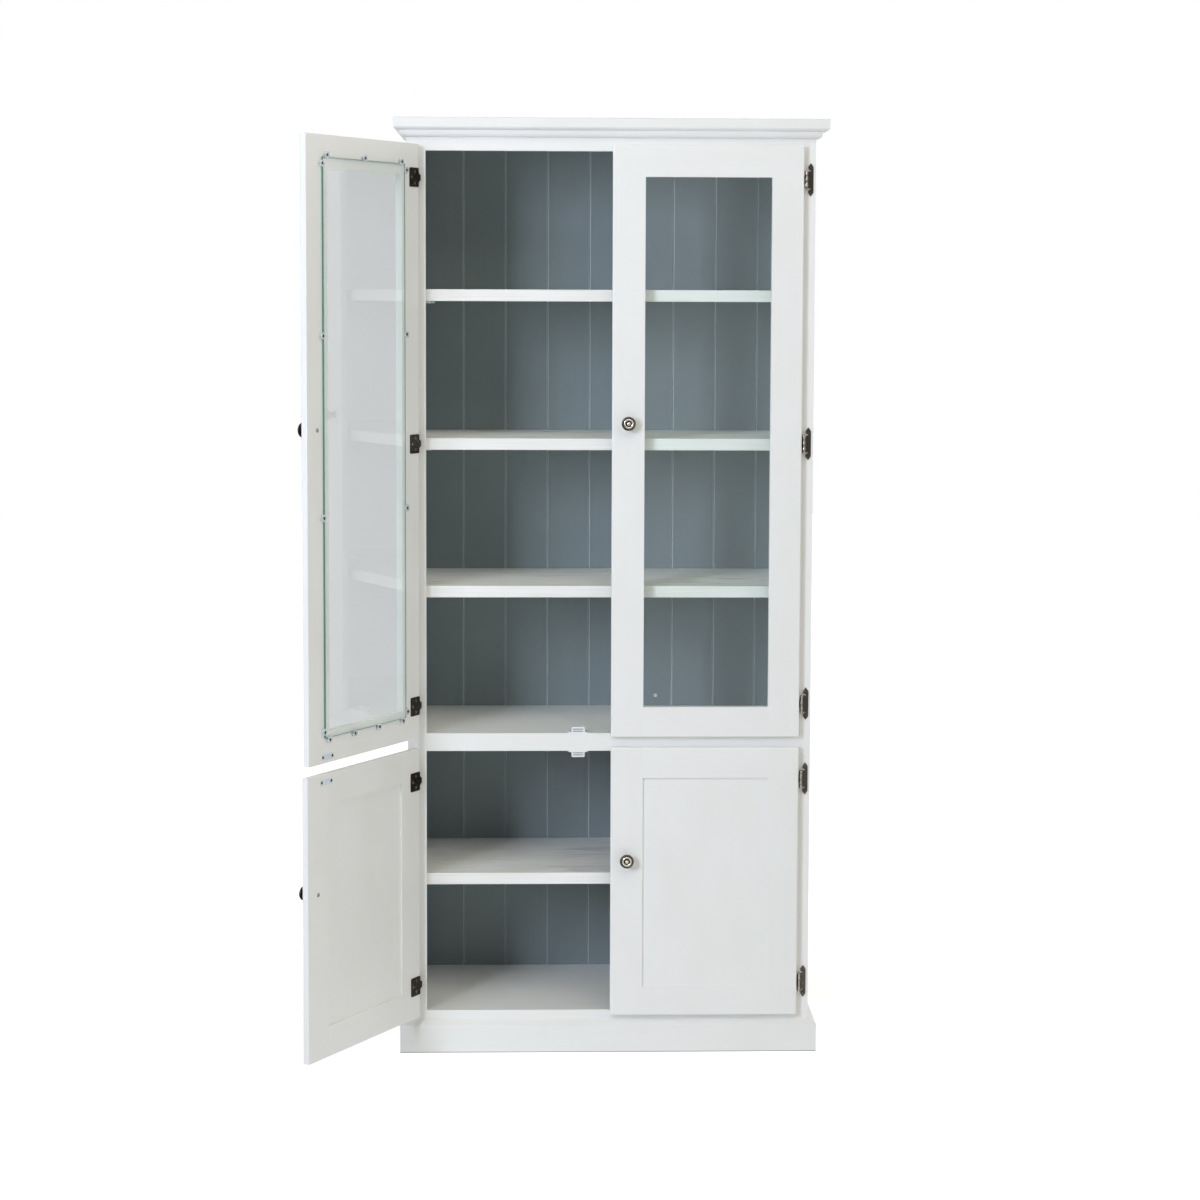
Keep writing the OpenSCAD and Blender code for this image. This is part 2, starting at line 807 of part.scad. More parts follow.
// A pin with a domed head at each end of the barrel
module pin() {
  half = barrel_h / 2;
  rim = 0.5;
  head_r = barrel_r - 0.4;
  dome_r = (head_r * head_r + pin_dome * pin_dome) / (2 * pin_dome);
  translate([axis_x, axis_y, -half]) cylinder(h = barrel_h, d = pin_d);
  for (s = [0, 1]) mirror([0, 0, s])
    translate([axis_x, axis_y, half]) {
      cylinder(h = rim, r = head_r);
      translate([0, 0, rim]) intersection() {
        translate([0, 0, pin_dome - dome_r]) sphere(r = dome_r);
        cylinder(h = barrel_r, r = head_r);
      }
    }
}

// Magnetic catches, on or under the middle rail. +Z points away from the rail
module at_catches() {
  mirrored_pair() {
    translate([catch_x, -catch_proud, middle_z]) children();
    translate([catch_x, -catch_proud, middle_under]) mirror([0, 0, 1]) children();
  }
}

module at_catch_screws() {
  for (s = [-1, 1])
    translate([s * catch_pitch / 2, catch_proud + frame_t / 2, catch_ear_t])
      rotate([180, 0, 0]) children();
}

module magnet_core(play) {
  z0 = catch_h / 2 - pole_gap / 2 - pole_t;
  for (z = [z0, catch_h / 2 + pole_gap / 2])
    translate([-pole_w / 2 - play, 0, z - play])
      cube([pole_w + 2 * play, catch_depth - case_wall + play, pole_t + 2 * play]);
  translate([-pole_w / 2 - play, case_wall, z0 - play])
    cube([pole_w + 2 * play, catch_depth - 2 * case_wall + play, pole_gap + 2 * pole_t + 2 * play]);
}

module catch_case() {
  r = 2;
  difference() {
    union() {
      along_y(catch_depth) difference() {
        translate([-catch_w / 2, 0]) square([catch_w, catch_h]);
        for (x = [0, 1]) mirror([x, 0]) translate([catch_w / 2, catch_h]) difference() {
          translate([-r, -r]) square(r + eps);
          translate([-r, -r]) circle(r);
        }
      }
      linear_extrude(catch_ear_t) intersection() {
        translate([-catch_ears / 2, 0]) square([catch_ears, catch_depth]);
        union() {
          translate([-catch_pitch / 2, 0]) square([catch_pitch, catch_depth]);
          for (s = [-1, 1]) translate([s * catch_pitch / 2, catch_depth / 2])
            circle(min(catch_depth / 2, (catch_ears - catch_pitch) / 2));
        }
      }
    }
    translate([0, -eps, 0]) magnet_slots();
    magnet_core(fit);
    at_catch_screws() screw(play = fit);
  }
}

module magnet_slots() {
  for (z = [catch_h / 2 - pole_gap / 2 - pole_t, catch_h / 2 + pole_gap / 2])
    translate([-pole_w / 2 - fit, 0, z - fit])
      cube([pole_w + 2 * fit, case_wall + 2 * eps, pole_t + 2 * fit]);
}

// Sub-parts, one module a node
module side_left() color(paint) mirror([1, 0, 0]) side_panel();
module side_right() color(paint) side_panel();
module top_panel() color(paint)
  translate([-half_w, frame_t, top_under]) cube([body_w, body_d - frame_t, top_t]);
module middle_board() color(paint) fixed_board(middle_z);
module floor_board() color(paint) fixed_board(floor_z);
module back_boards() color(paint_back) back_board_row();
module frame_stile_left() color(paint) mirror([1, 0, 0]) frame_stile();
module frame_stile_right() color(paint) frame_stile();
module frame_top_rail() color(paint) frame_rail(opening_top, cab_h);
module frame_middle_rail() color(paint) difference() {
  frame_rail(middle_under, middle_z);
  at_catches() at_catch_screws() screw(play = fit);
}
module frame_bottom_rail() color(paint) frame_rail(0, floor_z);
module cornice_front() color(paint) front_moulding(cornice_out) cornice_profile();
module cornice_right() color(paint) side_moulding(cornice_out) cornice_profile();
module cornice_left() color(paint) mirror([1, 0, 0]) side_moulding(cornice_out) cornice_profile();
module plinth_front() color(paint) front_moulding(plinth_out) plinth_profile();
module plinth_right() color(paint) side_moulding(plinth_out) plinth_profile();
module plinth_left() color(paint) mirror([1, 0, 0]) side_moulding(plinth_out) plinth_profile();
module upper_shelf_1() color(paint) shelf(shelf_tops[0]);
module upper_shelf_2() color(paint) shelf(shelf_tops[1]);
module upper_shelf_3() color(paint) shelf(shelf_tops[2]);
module lower_shelf() color(paint) shelf(shelf_tops[3]);
module shelf_supports() color(steel) mirrored_pair() at_supports(shelf_tops) support();
module catch_cases() color(plastic) at_catches() catch_case();
module catch_magnets() color(steel) at_catches() magnet_core(0);
module frame_hinge_leaves() color(bronze) mirrored_pair() at_frame_hinges() frame_leaf();
module hinge_pins() color(bronze) mirrored_pair() at_frame_hinges() pin();
module frame_screws() color(bronze) {
  mirrored_pair() at_frame_leaf_screws() screw();
  at_catches() at_catch_screws() screw();
}

module upper_left_stiles() color(paint) hang(LEFT, UPPER, upper_open) door_stiles(UPPER);
module upper_left_rails() color(paint) hang(LEFT, UPPER, upper_open) door_rails(UPPER);
module upper_left_glass() color(glazing) hang(LEFT, UPPER, upper_open) door_glass();
module upper_left_clips() color(clear) hang(LEFT, UPPER, upper_open) door_clips();
module upper_left_knob() color(bronze) hang(LEFT, UPPER, upper_open) door_knob(UPPER);
module upper_left_strike() color(steel) hang(LEFT, UPPER, upper_open) door_strike(UPPER);
module upper_left_hinge_leaves() color(bronze) hang(LEFT, UPPER, upper_open) door_leaves(UPPER);
module upper_left_screws() color(bronze) hang(LEFT, UPPER, upper_open) door_screws(UPPER);

module upper_right_stiles() color(paint) hang(RIGHT, UPPER) door_stiles(UPPER);
module upper_right_rails() color(paint) hang(RIGHT, UPPER) door_rails(UPPER);
module upper_right_glass() color(glazing) hang(RIGHT, UPPER) door_glass();
module upper_right_clips() color(clear) hang(RIGHT, UPPER) door_clips();
module upper_right_knob() color(bronze) hang(RIGHT, UPPER) door_knob(UPPER);
module upper_right_strike() color(steel) hang(RIGHT, UPPER) door_strike(UPPER);
module upper_right_hinge_leaves() color(bronze) hang(RIGHT, UPPER) door_leaves(UPPER);
module upper_right_screws() color(bronze) hang(RIGHT, UPPER) door_screws(UPPER);

module lower_left_stiles() color(paint) hang(LEFT, LOWER, lower_open) door_stiles(LOWER);
module lower_left_rails() color(paint) hang(LEFT, LOWER, lower_open) door_rails(LOWER);
module lower_left_panel() color(paint) hang(LEFT, LOWER, lower_open) door_panel();
module lower_left_knob() color(bronze) hang(LEFT, LOWER, lower_open) door_knob(LOWER);
module lower_left_strike() color(steel) hang(LEFT, LOWER, lower_open) door_strike(LOWER);
module lower_left_hinge_leaves() color(bronze) hang(LEFT, LOWER, lower_open) door_leaves(LOWER);
module lower_left_screws() color(bronze) hang(LEFT, LOWER, lower_open) door_screws(LOWER);

module lower_right_stiles() color(paint) hang(RIGHT, LOWER) door_stiles(LOWER);
module lower_right_rails() color(paint) hang(RIGHT, LOWER) door_rails(LOWER);
module lower_right_panel() color(paint) hang(RIGHT, LOWER) door_panel();
module lower_right_knob() color(bronze) hang(RIGHT, LOWER) door_knob(LOWER);
module lower_right_strike() color(steel) hang(RIGHT, LOWER) door_strike(LOWER);
module lower_right_hinge_leaves() color(bronze) hang(RIGHT, LOWER) door_leaves(LOWER);
module lower_right_screws() color(bronze) hang(RIGHT, LOWER) door_screws(LOWER);

side_left();
side_right();
top_panel();
middle_board();
floor_board();
back_boards();
frame_stile_left();
frame_stile_right();
frame_top_rail();
frame_middle_rail();
frame_bottom_rail();
cornice_front();
cornice_left();
cornice_right();
plinth_front();
plinth_left();
plinth_right();
upper_shelf_1();
upper_shelf_2();
upper_shelf_3();
lower_shelf();
shelf_supports();
catch_cases();
catch_magnets();
frame_hinge_leaves();
hinge_pins();
frame_screws();
upper_left_stiles();
upper_left_rails();
upper_left_glass();
upper_left_clips();
upper_left_knob();
upper_left_strike();
upper_left_hinge_leaves();
upper_left_screws();
upper_right_stiles();
upper_right_rails();
upper_right_glass();
upper_right_clips();
upper_right_knob();
upper_right_strike();
upper_right_hinge_leaves();
upper_right_screws();
lower_left_stiles();
lower_left_rails();
lower_left_panel();
lower_left_knob();
lower_left_strike();
lower_left_hinge_leaves();
lower_left_screws();
lower_right_stiles();
lower_right_rails();
lower_right_panel();
lower_right_knob();
lower_right_strike();
lower_right_hinge_leaves();
lower_right_screws();
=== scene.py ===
"""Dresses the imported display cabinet: paint, glass, plastics, bronze hinges, turned knobs and screws."""

import json
import math

import bmesh
import bpy
import numpy as np
from mathutils import Matrix, Vector


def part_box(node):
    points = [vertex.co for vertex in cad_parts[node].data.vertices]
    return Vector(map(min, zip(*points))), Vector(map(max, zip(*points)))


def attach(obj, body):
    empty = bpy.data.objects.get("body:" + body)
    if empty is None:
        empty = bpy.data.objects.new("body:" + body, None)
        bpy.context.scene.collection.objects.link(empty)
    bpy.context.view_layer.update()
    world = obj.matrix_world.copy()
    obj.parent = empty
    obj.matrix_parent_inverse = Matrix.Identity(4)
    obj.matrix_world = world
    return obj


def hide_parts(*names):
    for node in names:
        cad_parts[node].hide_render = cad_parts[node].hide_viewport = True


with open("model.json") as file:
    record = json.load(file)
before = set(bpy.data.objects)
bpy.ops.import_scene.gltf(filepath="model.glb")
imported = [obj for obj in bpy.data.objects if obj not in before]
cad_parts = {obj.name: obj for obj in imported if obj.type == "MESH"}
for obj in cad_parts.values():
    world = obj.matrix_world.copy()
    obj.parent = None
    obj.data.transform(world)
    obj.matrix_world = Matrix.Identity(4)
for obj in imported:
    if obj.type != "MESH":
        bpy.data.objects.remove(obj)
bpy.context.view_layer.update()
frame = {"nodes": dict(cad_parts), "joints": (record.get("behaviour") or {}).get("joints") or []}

MM = 0.001
UPPER_DOORS = ("upper_left", "upper_right")
LOWER_DOORS = ("lower_left", "lower_right")
DOORS = UPPER_DOORS + LOWER_DOORS
HINGES = {joint["name"].removesuffix("_hinge"): joint for joint in frame["joints"]}
SAME_POINT = 1e-6  # corners nearer to each other than this are one


def linear(hex_colour):
    """An sRGB hex colour as linear RGBA."""
    channels = [int(hex_colour[i : i + 2], 16) / 255 for i in (0, 2, 4)]
    return [c / 12.92 if c <= 0.04045 else ((c + 0.055) / 1.055) ** 2.4 for c in channels] + [1.0]


def add(tree, kind, links=(), **settings):
    """Adds a node with its settings and links. A setting is one of the node's own properties, or the value
    of the input of that name, with _ for spaces, or of that number, as in in6. A link is an output socket
    and the name or number of this node's input."""
    node = tree.nodes.new(kind)
    for name, value in settings.items():
        if hasattr(node, name):
            setattr(node, name, value)
        elif name.startswith("in"):
            node.inputs[int(name[2:])].default_value = value
        else:
            node.inputs[name.replace("_", " ")].default_value = value
    for output, name in links:
        tree.links.new(output, node.inputs[name])
    return node


def new_material(name):
    """An empty material and its node tree."""
    material = bpy.data.materials.new(name)
    material.use_nodes = True
    material.node_tree.nodes.clear()
    return material, material.node_tree


# The doors' places: which way each one is turned from closed, about its hinges


def hang(door):
    """The matrix that takes a piece of the closed right-hand door to its place on this door."""
    if "right" in door:
        return Matrix.Identity(4)
    axis = Vector(HINGES[door]["pos_m"])
    opened = math.radians(-HINGES[door]["range_deg"][0])
    turn = Matrix.Rotation(-opened, 4, "Z")
    return Matrix.Translation(axis) @ turn @ Matrix.Translation(-axis) @ Matrix.Diagonal((-1, 1, 1, 1))


# Paint and wood


def grain_space(tree, along, opened):
    """The piece's own coordinates in millimetres, turned with its door, the first axis along the grain."""
    place = add(tree, "ShaderNodeTexCoord").outputs["Object"]
    straight = add(
        tree,
        "ShaderNodeVectorRotate",
        [(place, "Vector")],
        rotation_type="Z_AXIS",
        Angle=opened,
    )
    parts = add(tree, "ShaderNodeSeparateXYZ", [(straight.outputs[0], 0)])
    order = {"x": "XYZ", "y": "YXZ", "z": "ZXY"}[along]
    joined = add(tree, "ShaderNodeCombineXYZ", [(parts.outputs[axis], i) for i, axis in enumerate(order)])
    in_mm = add(tree, "ShaderNodeVectorMath", [(joined.outputs[0], 0)], operation="SCALE", Scale=1 / MM)
    return in_mm.outputs[0]


def stretched_noise(tree, space, sizes_mm, detail=3.0, distortion=0.0):
    """Noise whose spots have these sizes along the grain and across it."""
    shrunk = add(
        tree,
        "ShaderNodeVectorMath",
        [(space, 0)],
        operation="MULTIPLY",
        in1=[1 / size for size in sizes_mm],
    )
    return add(
        tree,
        "ShaderNodeTexNoise",
        [(shrunk.outputs[0], "Vector")],
        Scale=1.0,
        Detail=detail,
        Distortion=distortion,
    ).outputs["Fac"]


def facing(tree, axis):
    """1 on faces that look along this axis of the room, either way, and 0 on faces well aside of it."""
    normal = add(tree, "ShaderNodeNewGeometry").outputs["Normal"]
    part = add(tree, "ShaderNodeSeparateXYZ", [(normal, 0)]).outputs[axis]
    size = add(tree, "ShaderNodeMath", [(part, 0)], operation="ABSOLUTE").outputs[0]
    return add(tree, "ShaderNodeMapRange", [(size, "Value")], From_Min=0.4, From_Max=0.65).outputs[0]


def painted_wood(
    name, along, opened=0.0, body="F2F2F0", thin="EBEAE6", grain_mm=0.008, tint=0.15, dull=0.36, extra=None
):
    """Satin lacquer sprayed on planed softwood: a smooth soft sheen, a little of the grain's ridges under
    the paint, and the fine mottle of a sprayed coat."""
    material, tree = new_material(name)
    space = grain_space(tree, along, opened)
    # Growth rings telegraph through the paint as long soft ridges about 5 mm apart
    ridges = stretched_noise(tree, space, (260, 5, 5), 4.0, 0.6)
    # Open pores: short thin lines, drawn 1 mm wide so that they show
    pores = stretched_noise(tree, space, (45, 1.1, 1.1), 2.0)
    # Sprayed lacquer levels to a mottle of 2.5 mm
    mottle = stretched_noise(tree, space, (2.5, 2.5, 2.5), 2.0)
    # The coat is a touch thinner here and there, over a hand's breadth
    clouds = stretched_noise(tree, space, (180, 90, 90), 2.0)
    patchy = add(tree, "ShaderNodeMapRange", [(clouds, "Value")], From_Min=0.35, From_Max=0.7, To_Max=0.35)
    cloudy = add(
        tree,
        "ShaderNodeMix",
        [(patchy.outputs[0], 0)],
        data_type="RGBA",
        in6=linear(body),
        in7=linear(thin),
    )
    ringed = add(tree, "ShaderNodeMapRange", [(ridges, "Value")], From_Min=0.45, From_Max=0.75, To_Max=tint)
    colour = add(
        tree,
        "ShaderNodeMix",
        [(ringed.outputs[0], 0), (cloudy.outputs[2], 6)],
        data_type="RGBA",
        in7=linear(thin),
    ).outputs[2]
    if extra:
        colour = extra(tree, space, colour)
    gloss = add(
        tree,
        "ShaderNodeMapRange",
        [(mottle, "Value")],
        From_Min=0.3,
        From_Max=0.7,
        To_Min=dull,
        To_Max=dull + 0.1,
    ).outputs[0]
    relief = add(tree, "ShaderNodeBump", [(ridges, "Height")], Strength=0.6, Distance=grain_mm * MM)
    relief = add(
        tree,
        "ShaderNodeBump",
        [(pores, "Height"), (relief.outputs[0], "Normal")],
        Strength=0.35,
        Distance=grain_mm * 0.5 * MM,
    )
    relief = add(
        tree,
        "ShaderNodeBump",
        [(mottle, "Height"), (relief.outputs[0], "Normal")],
        Strength=0.3,
        Distance=0.01 * MM,
    )
    coat = add(
        tree,
        "ShaderNodeBsdfPrincipled",
        [(colour, "Base Color"), (gloss, "Roughness"), (relief.outputs[0], "Normal")],
        IOR=1.5,
    )
    add(tree, "ShaderNodeOutputMaterial", [(coat.outputs[0], "Surface")])
    return material


def broad_grain(tree, space, colour):
    """The wide flame of a flat-sawn board shows through the thin coat on top of a shelf."""
    flame = stretched_noise(tree, space, (210, 26, 26), 4.0, 1.6)
    ends = stretched_noise(tree, space, (240, 400, 400), 1.0)
    streak = add(tree, "ShaderNodeMapRange", [(flame, "Value")], From_Min=0.5, From_Max=0.62, To_Max=0.9)
    length = add(tree, "ShaderNodeMapRange", [(ends, "Value")], From_Min=0.4, From_Max=0.6, To_Min=0.25)
    top = facing(tree, "Z")
    where = add(tree, "ShaderNodeMath", [(top, 0), (length.outputs[0], 1)], operation="MULTIPLY").outputs[0]
    links = [(streak.outputs[0], 0), (where, 1)]
    share = add(tree, "ShaderNodeMath", links, operation="MULTIPLY").outputs[0]
    mixed = add(tree, "ShaderNodeMix", [(share, 0), (colour, 6)], data_type="RGBA", in7=linear("CDD1CE"))
    return mixed.outputs[2]


def hollows_painted_light(tree, space, colour):
    """The hollows of a moulding are painted whiter, as painted light that lifts their shade."""
    open_sky = add(tree, "ShaderNodeAmbientOcclusion", samples=6, Distance=14 * MM).outputs["AO"]
    out_of_hollows = add(tree, "ShaderNodeMapRange", [(open_sky, "Value")], From_Min=0.5, From_Max=0.85).outputs[0]
    # Painted light: white mixed into the shaded hollows
    mixed = add(tree, "ShaderNodeMix", [(out_of_hollows, 0), (colour, 7)], data_type="RGBA", in6=linear("FFFFFF"))
    return mixed.outputs[2]


def foot_painted_shadow(tree, space, colour):
    """The bottom 2 mm of the piece, where it stands on the floor, is painted grey as a painted contact
    shadow.
    """
    place = add(tree, "ShaderNodeTexCoord").outputs["Object"]
    height = add(tree, "ShaderNodeSeparateXYZ", [(place, 0)]).outputs["Z"]
    above_contact = add(
        tree,
        "ShaderNodeMapRange",
        [(height, "Value")],
        From_Min=1.4 * MM,
        From_Max=2.2 * MM,
    ).outputs[0]
    # Painted shadow: grey along the foot where it meets the floor
    mixed = add(tree, "ShaderNodeMix", [(above_contact, 0), (colour, 7)], data_type="RGBA", in6=linear("8C8385"))
    return mixed.outputs[2]


def chamfer_highlight_groove_shade(tree, space, colour):
    """The chamfers of the back boards are painted paler than their faces as a painted highlight, and the
    bottoms of the grooves are painted dark as painted shade.
    """
    slope = facing(tree, "X")
    # Painted highlight: the chamfers are paler, as if they catch the light
    paler = add(tree, "ShaderNodeMix", [(slope, 0), (colour, 6)], data_type="RGBA", in7=linear("BCC7CA"))
    # Painted shade: the bottoms of the grooves go dark
    sky = add(tree, "ShaderNodeAmbientOcclusion", samples=6, only_local=True, Distance=4 * MM).outputs["AO"]
    out = add(tree, "ShaderNodeMapRange", [(sky, "Value")], From_Min=0.3, From_Max=0.62).outputs[0]
    mixed = add(
        tree,
        "ShaderNodeMix",
        [(out, 0), (paler.outputs[2], 7)],
        data_type="RGBA",
        in6=linear("3A4346"),
    )
    return mixed.outputs[2]


# Glass and plastics


def lets_light_in(tree, shader, tint):
    """Lets lamps and the room's light straight through a clear piece, a little tinted. Other rays get its
    shader."""
    through = add(tree, "ShaderNodeBsdfTransparent", Color=linear(tint))
    rays = add(tree, "ShaderNodeLightPath")
    links = [(rays.outputs["Is Shadow Ray"], 0), (rays.outputs["Is Diffuse Ray"], 1)]
    straight = add(tree, "ShaderNodeMath", links, operation="MAXIMUM").outputs[0]
    links = [(straight, 0), (shader, 1), (through.outputs[0], 2)]
    return add(tree, "ShaderNodeMixShader", links).outputs[0]


def float_glass(name):
    """Clear float glass, 4 mm: nearly colourless through the face, a little tinted by finger marks."""
    material, tree = new_material(name)
    place = add(tree, "ShaderNodeTexCoord").outputs["Object"]
    # Wiping leaves a faint haze in patches of 90 mm
    haze = add(tree, "ShaderNodeTexNoise", [(place, "Vector")], Scale=1 / (90 * MM), Detail=2.0)
    colour = add(
        tree,
        "ShaderNodeMix",
        [(haze.outputs["Fac"], 0)],
        data_type="RGBA",
        in6=linear("FDFFFE"),
        in7=linear("FBFEFD"),
    )
    sheet = add(
        tree,
        "ShaderNodeBsdfPrincipled",
        [(colour.outputs[2], "Base Color")],
        Roughness=0.0,
        IOR=1.52,
        Transmission_Weight=1.0,
    )
    clear = lets_light_in(tree, sheet.outputs[0], "FAFEFD")
    add(tree, "ShaderNodeOutputMaterial", [(clear, "Surface")])
    return material


def ground_glass_edge(name):
    """The ground edge of float glass: green, because one looks along the sheet, and dull from the wheel."""
    material, tree = new_material(name)
    place = add(tree, "ShaderNodeTexCoord").outputs["Object"]
    # The grinding wheel leaves fine marks, drawn 0.8 mm wide so that they show
    marks = add(tree, "ShaderNodeTexNoise", [(place, "Vector")], Scale=1 / (0.8 * MM), Detail=2.0)
    scratch = add(tree, "ShaderNodeMapRange", [(marks.outputs["Fac"], "Value")], From_Min=0.3, From_Max=0.7)
    colour = add(
        tree,
        "ShaderNodeMix",
        [(scratch.outputs[0], 0)],
        data_type="RGBA",
        in6=linear("3A7468"),
        in7=linear("568F80"),
    )
    gloss = add(
        tree,
        "ShaderNodeMapRange",
        [(marks.outputs["Fac"], "Value")],
        From_Min=0.3,
        From_Max=0.7,
        To_Min=0.3,
        To_Max=0.45,
    )
    edge = add(
        tree,
        "ShaderNodeBsdfPrincipled",
        [(colour.outputs[2], "Base Color"), (gloss.outputs[0], "Roughness")],
        IOR=1.52,
    )
    add(tree, "ShaderNodeOutputMaterial", [(edge.outputs[0], "Surface")])
    return material


def clear_plastic(name):
    """Injection-moulded clear polycarbonate: glossy, slightly blue, and milky where it is thick."""
    material, tree = new_material(name)
    place = add(tree, "ShaderNodeTexCoord").outputs["Object"]
    # Flow marks of the moulding, about 3 mm
    flow = add(tree, "ShaderNodeTexNoise", [(place, "Vector")], Scale=1 / (3 * MM), Detail=2.0)
    gloss = add(
        tree,
        "ShaderNodeMapRange",
        [(flow.outputs["Fac"], "Value")],
        From_Min=0.3,
        From_Max=0.7,
        To_Min=0.03,
        To_Max=0.1,
    )
    colour = add(
        tree,
        "ShaderNodeMix",
        [(flow.outputs["Fac"], 0)],
        data_type="RGBA",
        in6=linear("F4F9FD"),
        in7=linear("E4ECF4"),
    )
    clip = add(
        tree,
        "ShaderNodeBsdfPrincipled",
        [(colour.outputs[2], "Base Color"), (gloss.outputs[0], "Roughness")],
        IOR=1.5,
        Transmission_Weight=0.5,
    )
    clear = lets_light_in(tree, clip.outputs[0], "F0F4F5")
    add(tree, "ShaderNodeOutputMaterial", [(clear, "Surface")])
    return material


def white_plastic(name):
    """Moulded white nylon: bluish white, soft gloss, a fine spark-eroded texture of 0.5 mm."""
    material, tree = new_material(name)
    place = add(tree, "ShaderNodeTexCoord").outputs["Object"]
    texture = add(tree, "ShaderNodeTexNoise", [(place, "Vector")], Scale=1 / (0.5 * MM), Detail=2.0)
    # The white varies softly over 12 mm
    cloud = add(tree, "ShaderNodeTexNoise", [(place, "Vector")], Scale=1 / (12 * MM), Detail=2.0)
    colour = add(
        tree,
        "ShaderNodeMix",
        [(cloud.outputs["Fac"], 0)],
        data_type="RGBA",
        in6=linear("F1F4F6"),
        in7=linear("E6EAEE"),
    )
    gloss = add(
        tree,
        "ShaderNodeMapRange",
        [(texture.outputs["Fac"], "Value")],
        From_Min=0.3,
        From_Max=0.7,
        To_Min=0.28,
        To_Max=0.4,
    )
    relief = add(
        tree,
        "ShaderNodeBump",
        [(texture.outputs["Fac"], "Height")],
        Strength=0.3,
        Distance=0.01 * MM,
    )
    case = add(
        tree,
        "ShaderNodeBsdfPrincipled",
        [(colour.outputs[2], "Base Color"), (gloss.outputs[0], "Roughness"), (relief.outputs[0], "Normal")],
        IOR=1.53,
    )
    add(tree, "ShaderNodeOutputMaterial", [(case.outputs[0], "Surface")])
    return material


# Metals


def zinc_plate(name, light, dark):
    """Rolled steel with bright zinc plating: cool grey, faint rolling lines, small cloudy spangles."""
    material, tree = new_material(name)
    place = add(tree, "ShaderNodeTexCoord").outputs["Object"]
    # The mill rolls leave lines 0.4 mm apart
    rolled = add(
        tree,
        "ShaderNodeVectorMath",
        [(place, 0)],
        operation="MULTIPLY",
        in1=(1 / (20 * MM), 1 / (20 * MM), 1 / (0.4 * MM)),
    )
    lines = add(tree, "ShaderNodeTexNoise", [(rolled.outputs[0], "Vector")], Scale=1.0, Detail=3.0)
    # Spangles of 2.5 mm
    crystals = add(tree, "ShaderNodeTexVoronoi", [(place, "Vector")], Scale=1 / (2.5 * MM))
    spangle = add(tree, "ShaderNodeMapRange", [(crystals.outputs["Distance"], "Value")], From_Max=0.8)
    colour = add(
        tree,
        "ShaderNodeMix",
        [(spangle.outputs[0], 0)],
        data_type="RGBA",
        in6=linear(light),
        in7=linear(dark),
    )
    gloss = add(
        tree,
        "ShaderNodeMapRange",
        [(lines.outputs["Fac"], "Value")],
        From_Min=0.3,
        From_Max=0.7,
        To_Min=0.24,
        To_Max=0.4,
    )
    relief = add(
        tree,
        "ShaderNodeBump",
        [(lines.outputs["Fac"], "Height")],
        Strength=0.3,
        Distance=0.005 * MM,
    )
    plate = add(
        tree,
        "ShaderNodeBsdfPrincipled",
        [(colour.outputs[2], "Base Color"), (gloss.outputs[0], "Roughness"), (relief.outputs[0], "Normal")],
        Metallic=1.0,
    )
    add(tree, "ShaderNodeOutputMaterial", [(plate.outputs[0], "Surface")])
    return material


def rubbed_and_highlit_front(tree, place, direction, level, tilts):
    """Rubbing by hands and a painted highlight on the faces that look in this direction: fully from this
    level outwards, and a little behind it. The tilts say how squarely a face has to look, as in
    BARREL_TILTS."""
    own = add(tree, "ShaderNodeTexCoord").outputs["Normal"]
    ahead = add(tree, "ShaderNodeVectorMath", [(own, 0)], operation="DOT_PRODUCT", in1=direction)
    rise = add(tree, "ShaderNodeVectorMath", [(place, 0)], operation="DOT_PRODUCT", in1=direction)
    square = add(
        tree,
        "ShaderNodeMapRange",
        [(ahead.outputs["Value"], "Value")],
        From_Min=tilts[0],
        From_Max=tilts[1],
    )
    stands_out = add(
        tree,
        "ShaderNodeMapRange",
        [(rise.outputs["Value"], "Value")],
        From_Min=level,
        From_Max=level + 0.8 * MM,
        To_Min=0.12,
    )
    links = [(square.outputs[0], 0), (stands_out.outputs[0], 1)]
    return add(tree, "ShaderNodeMath", links, operation="MULTIPLY").outputs[0]


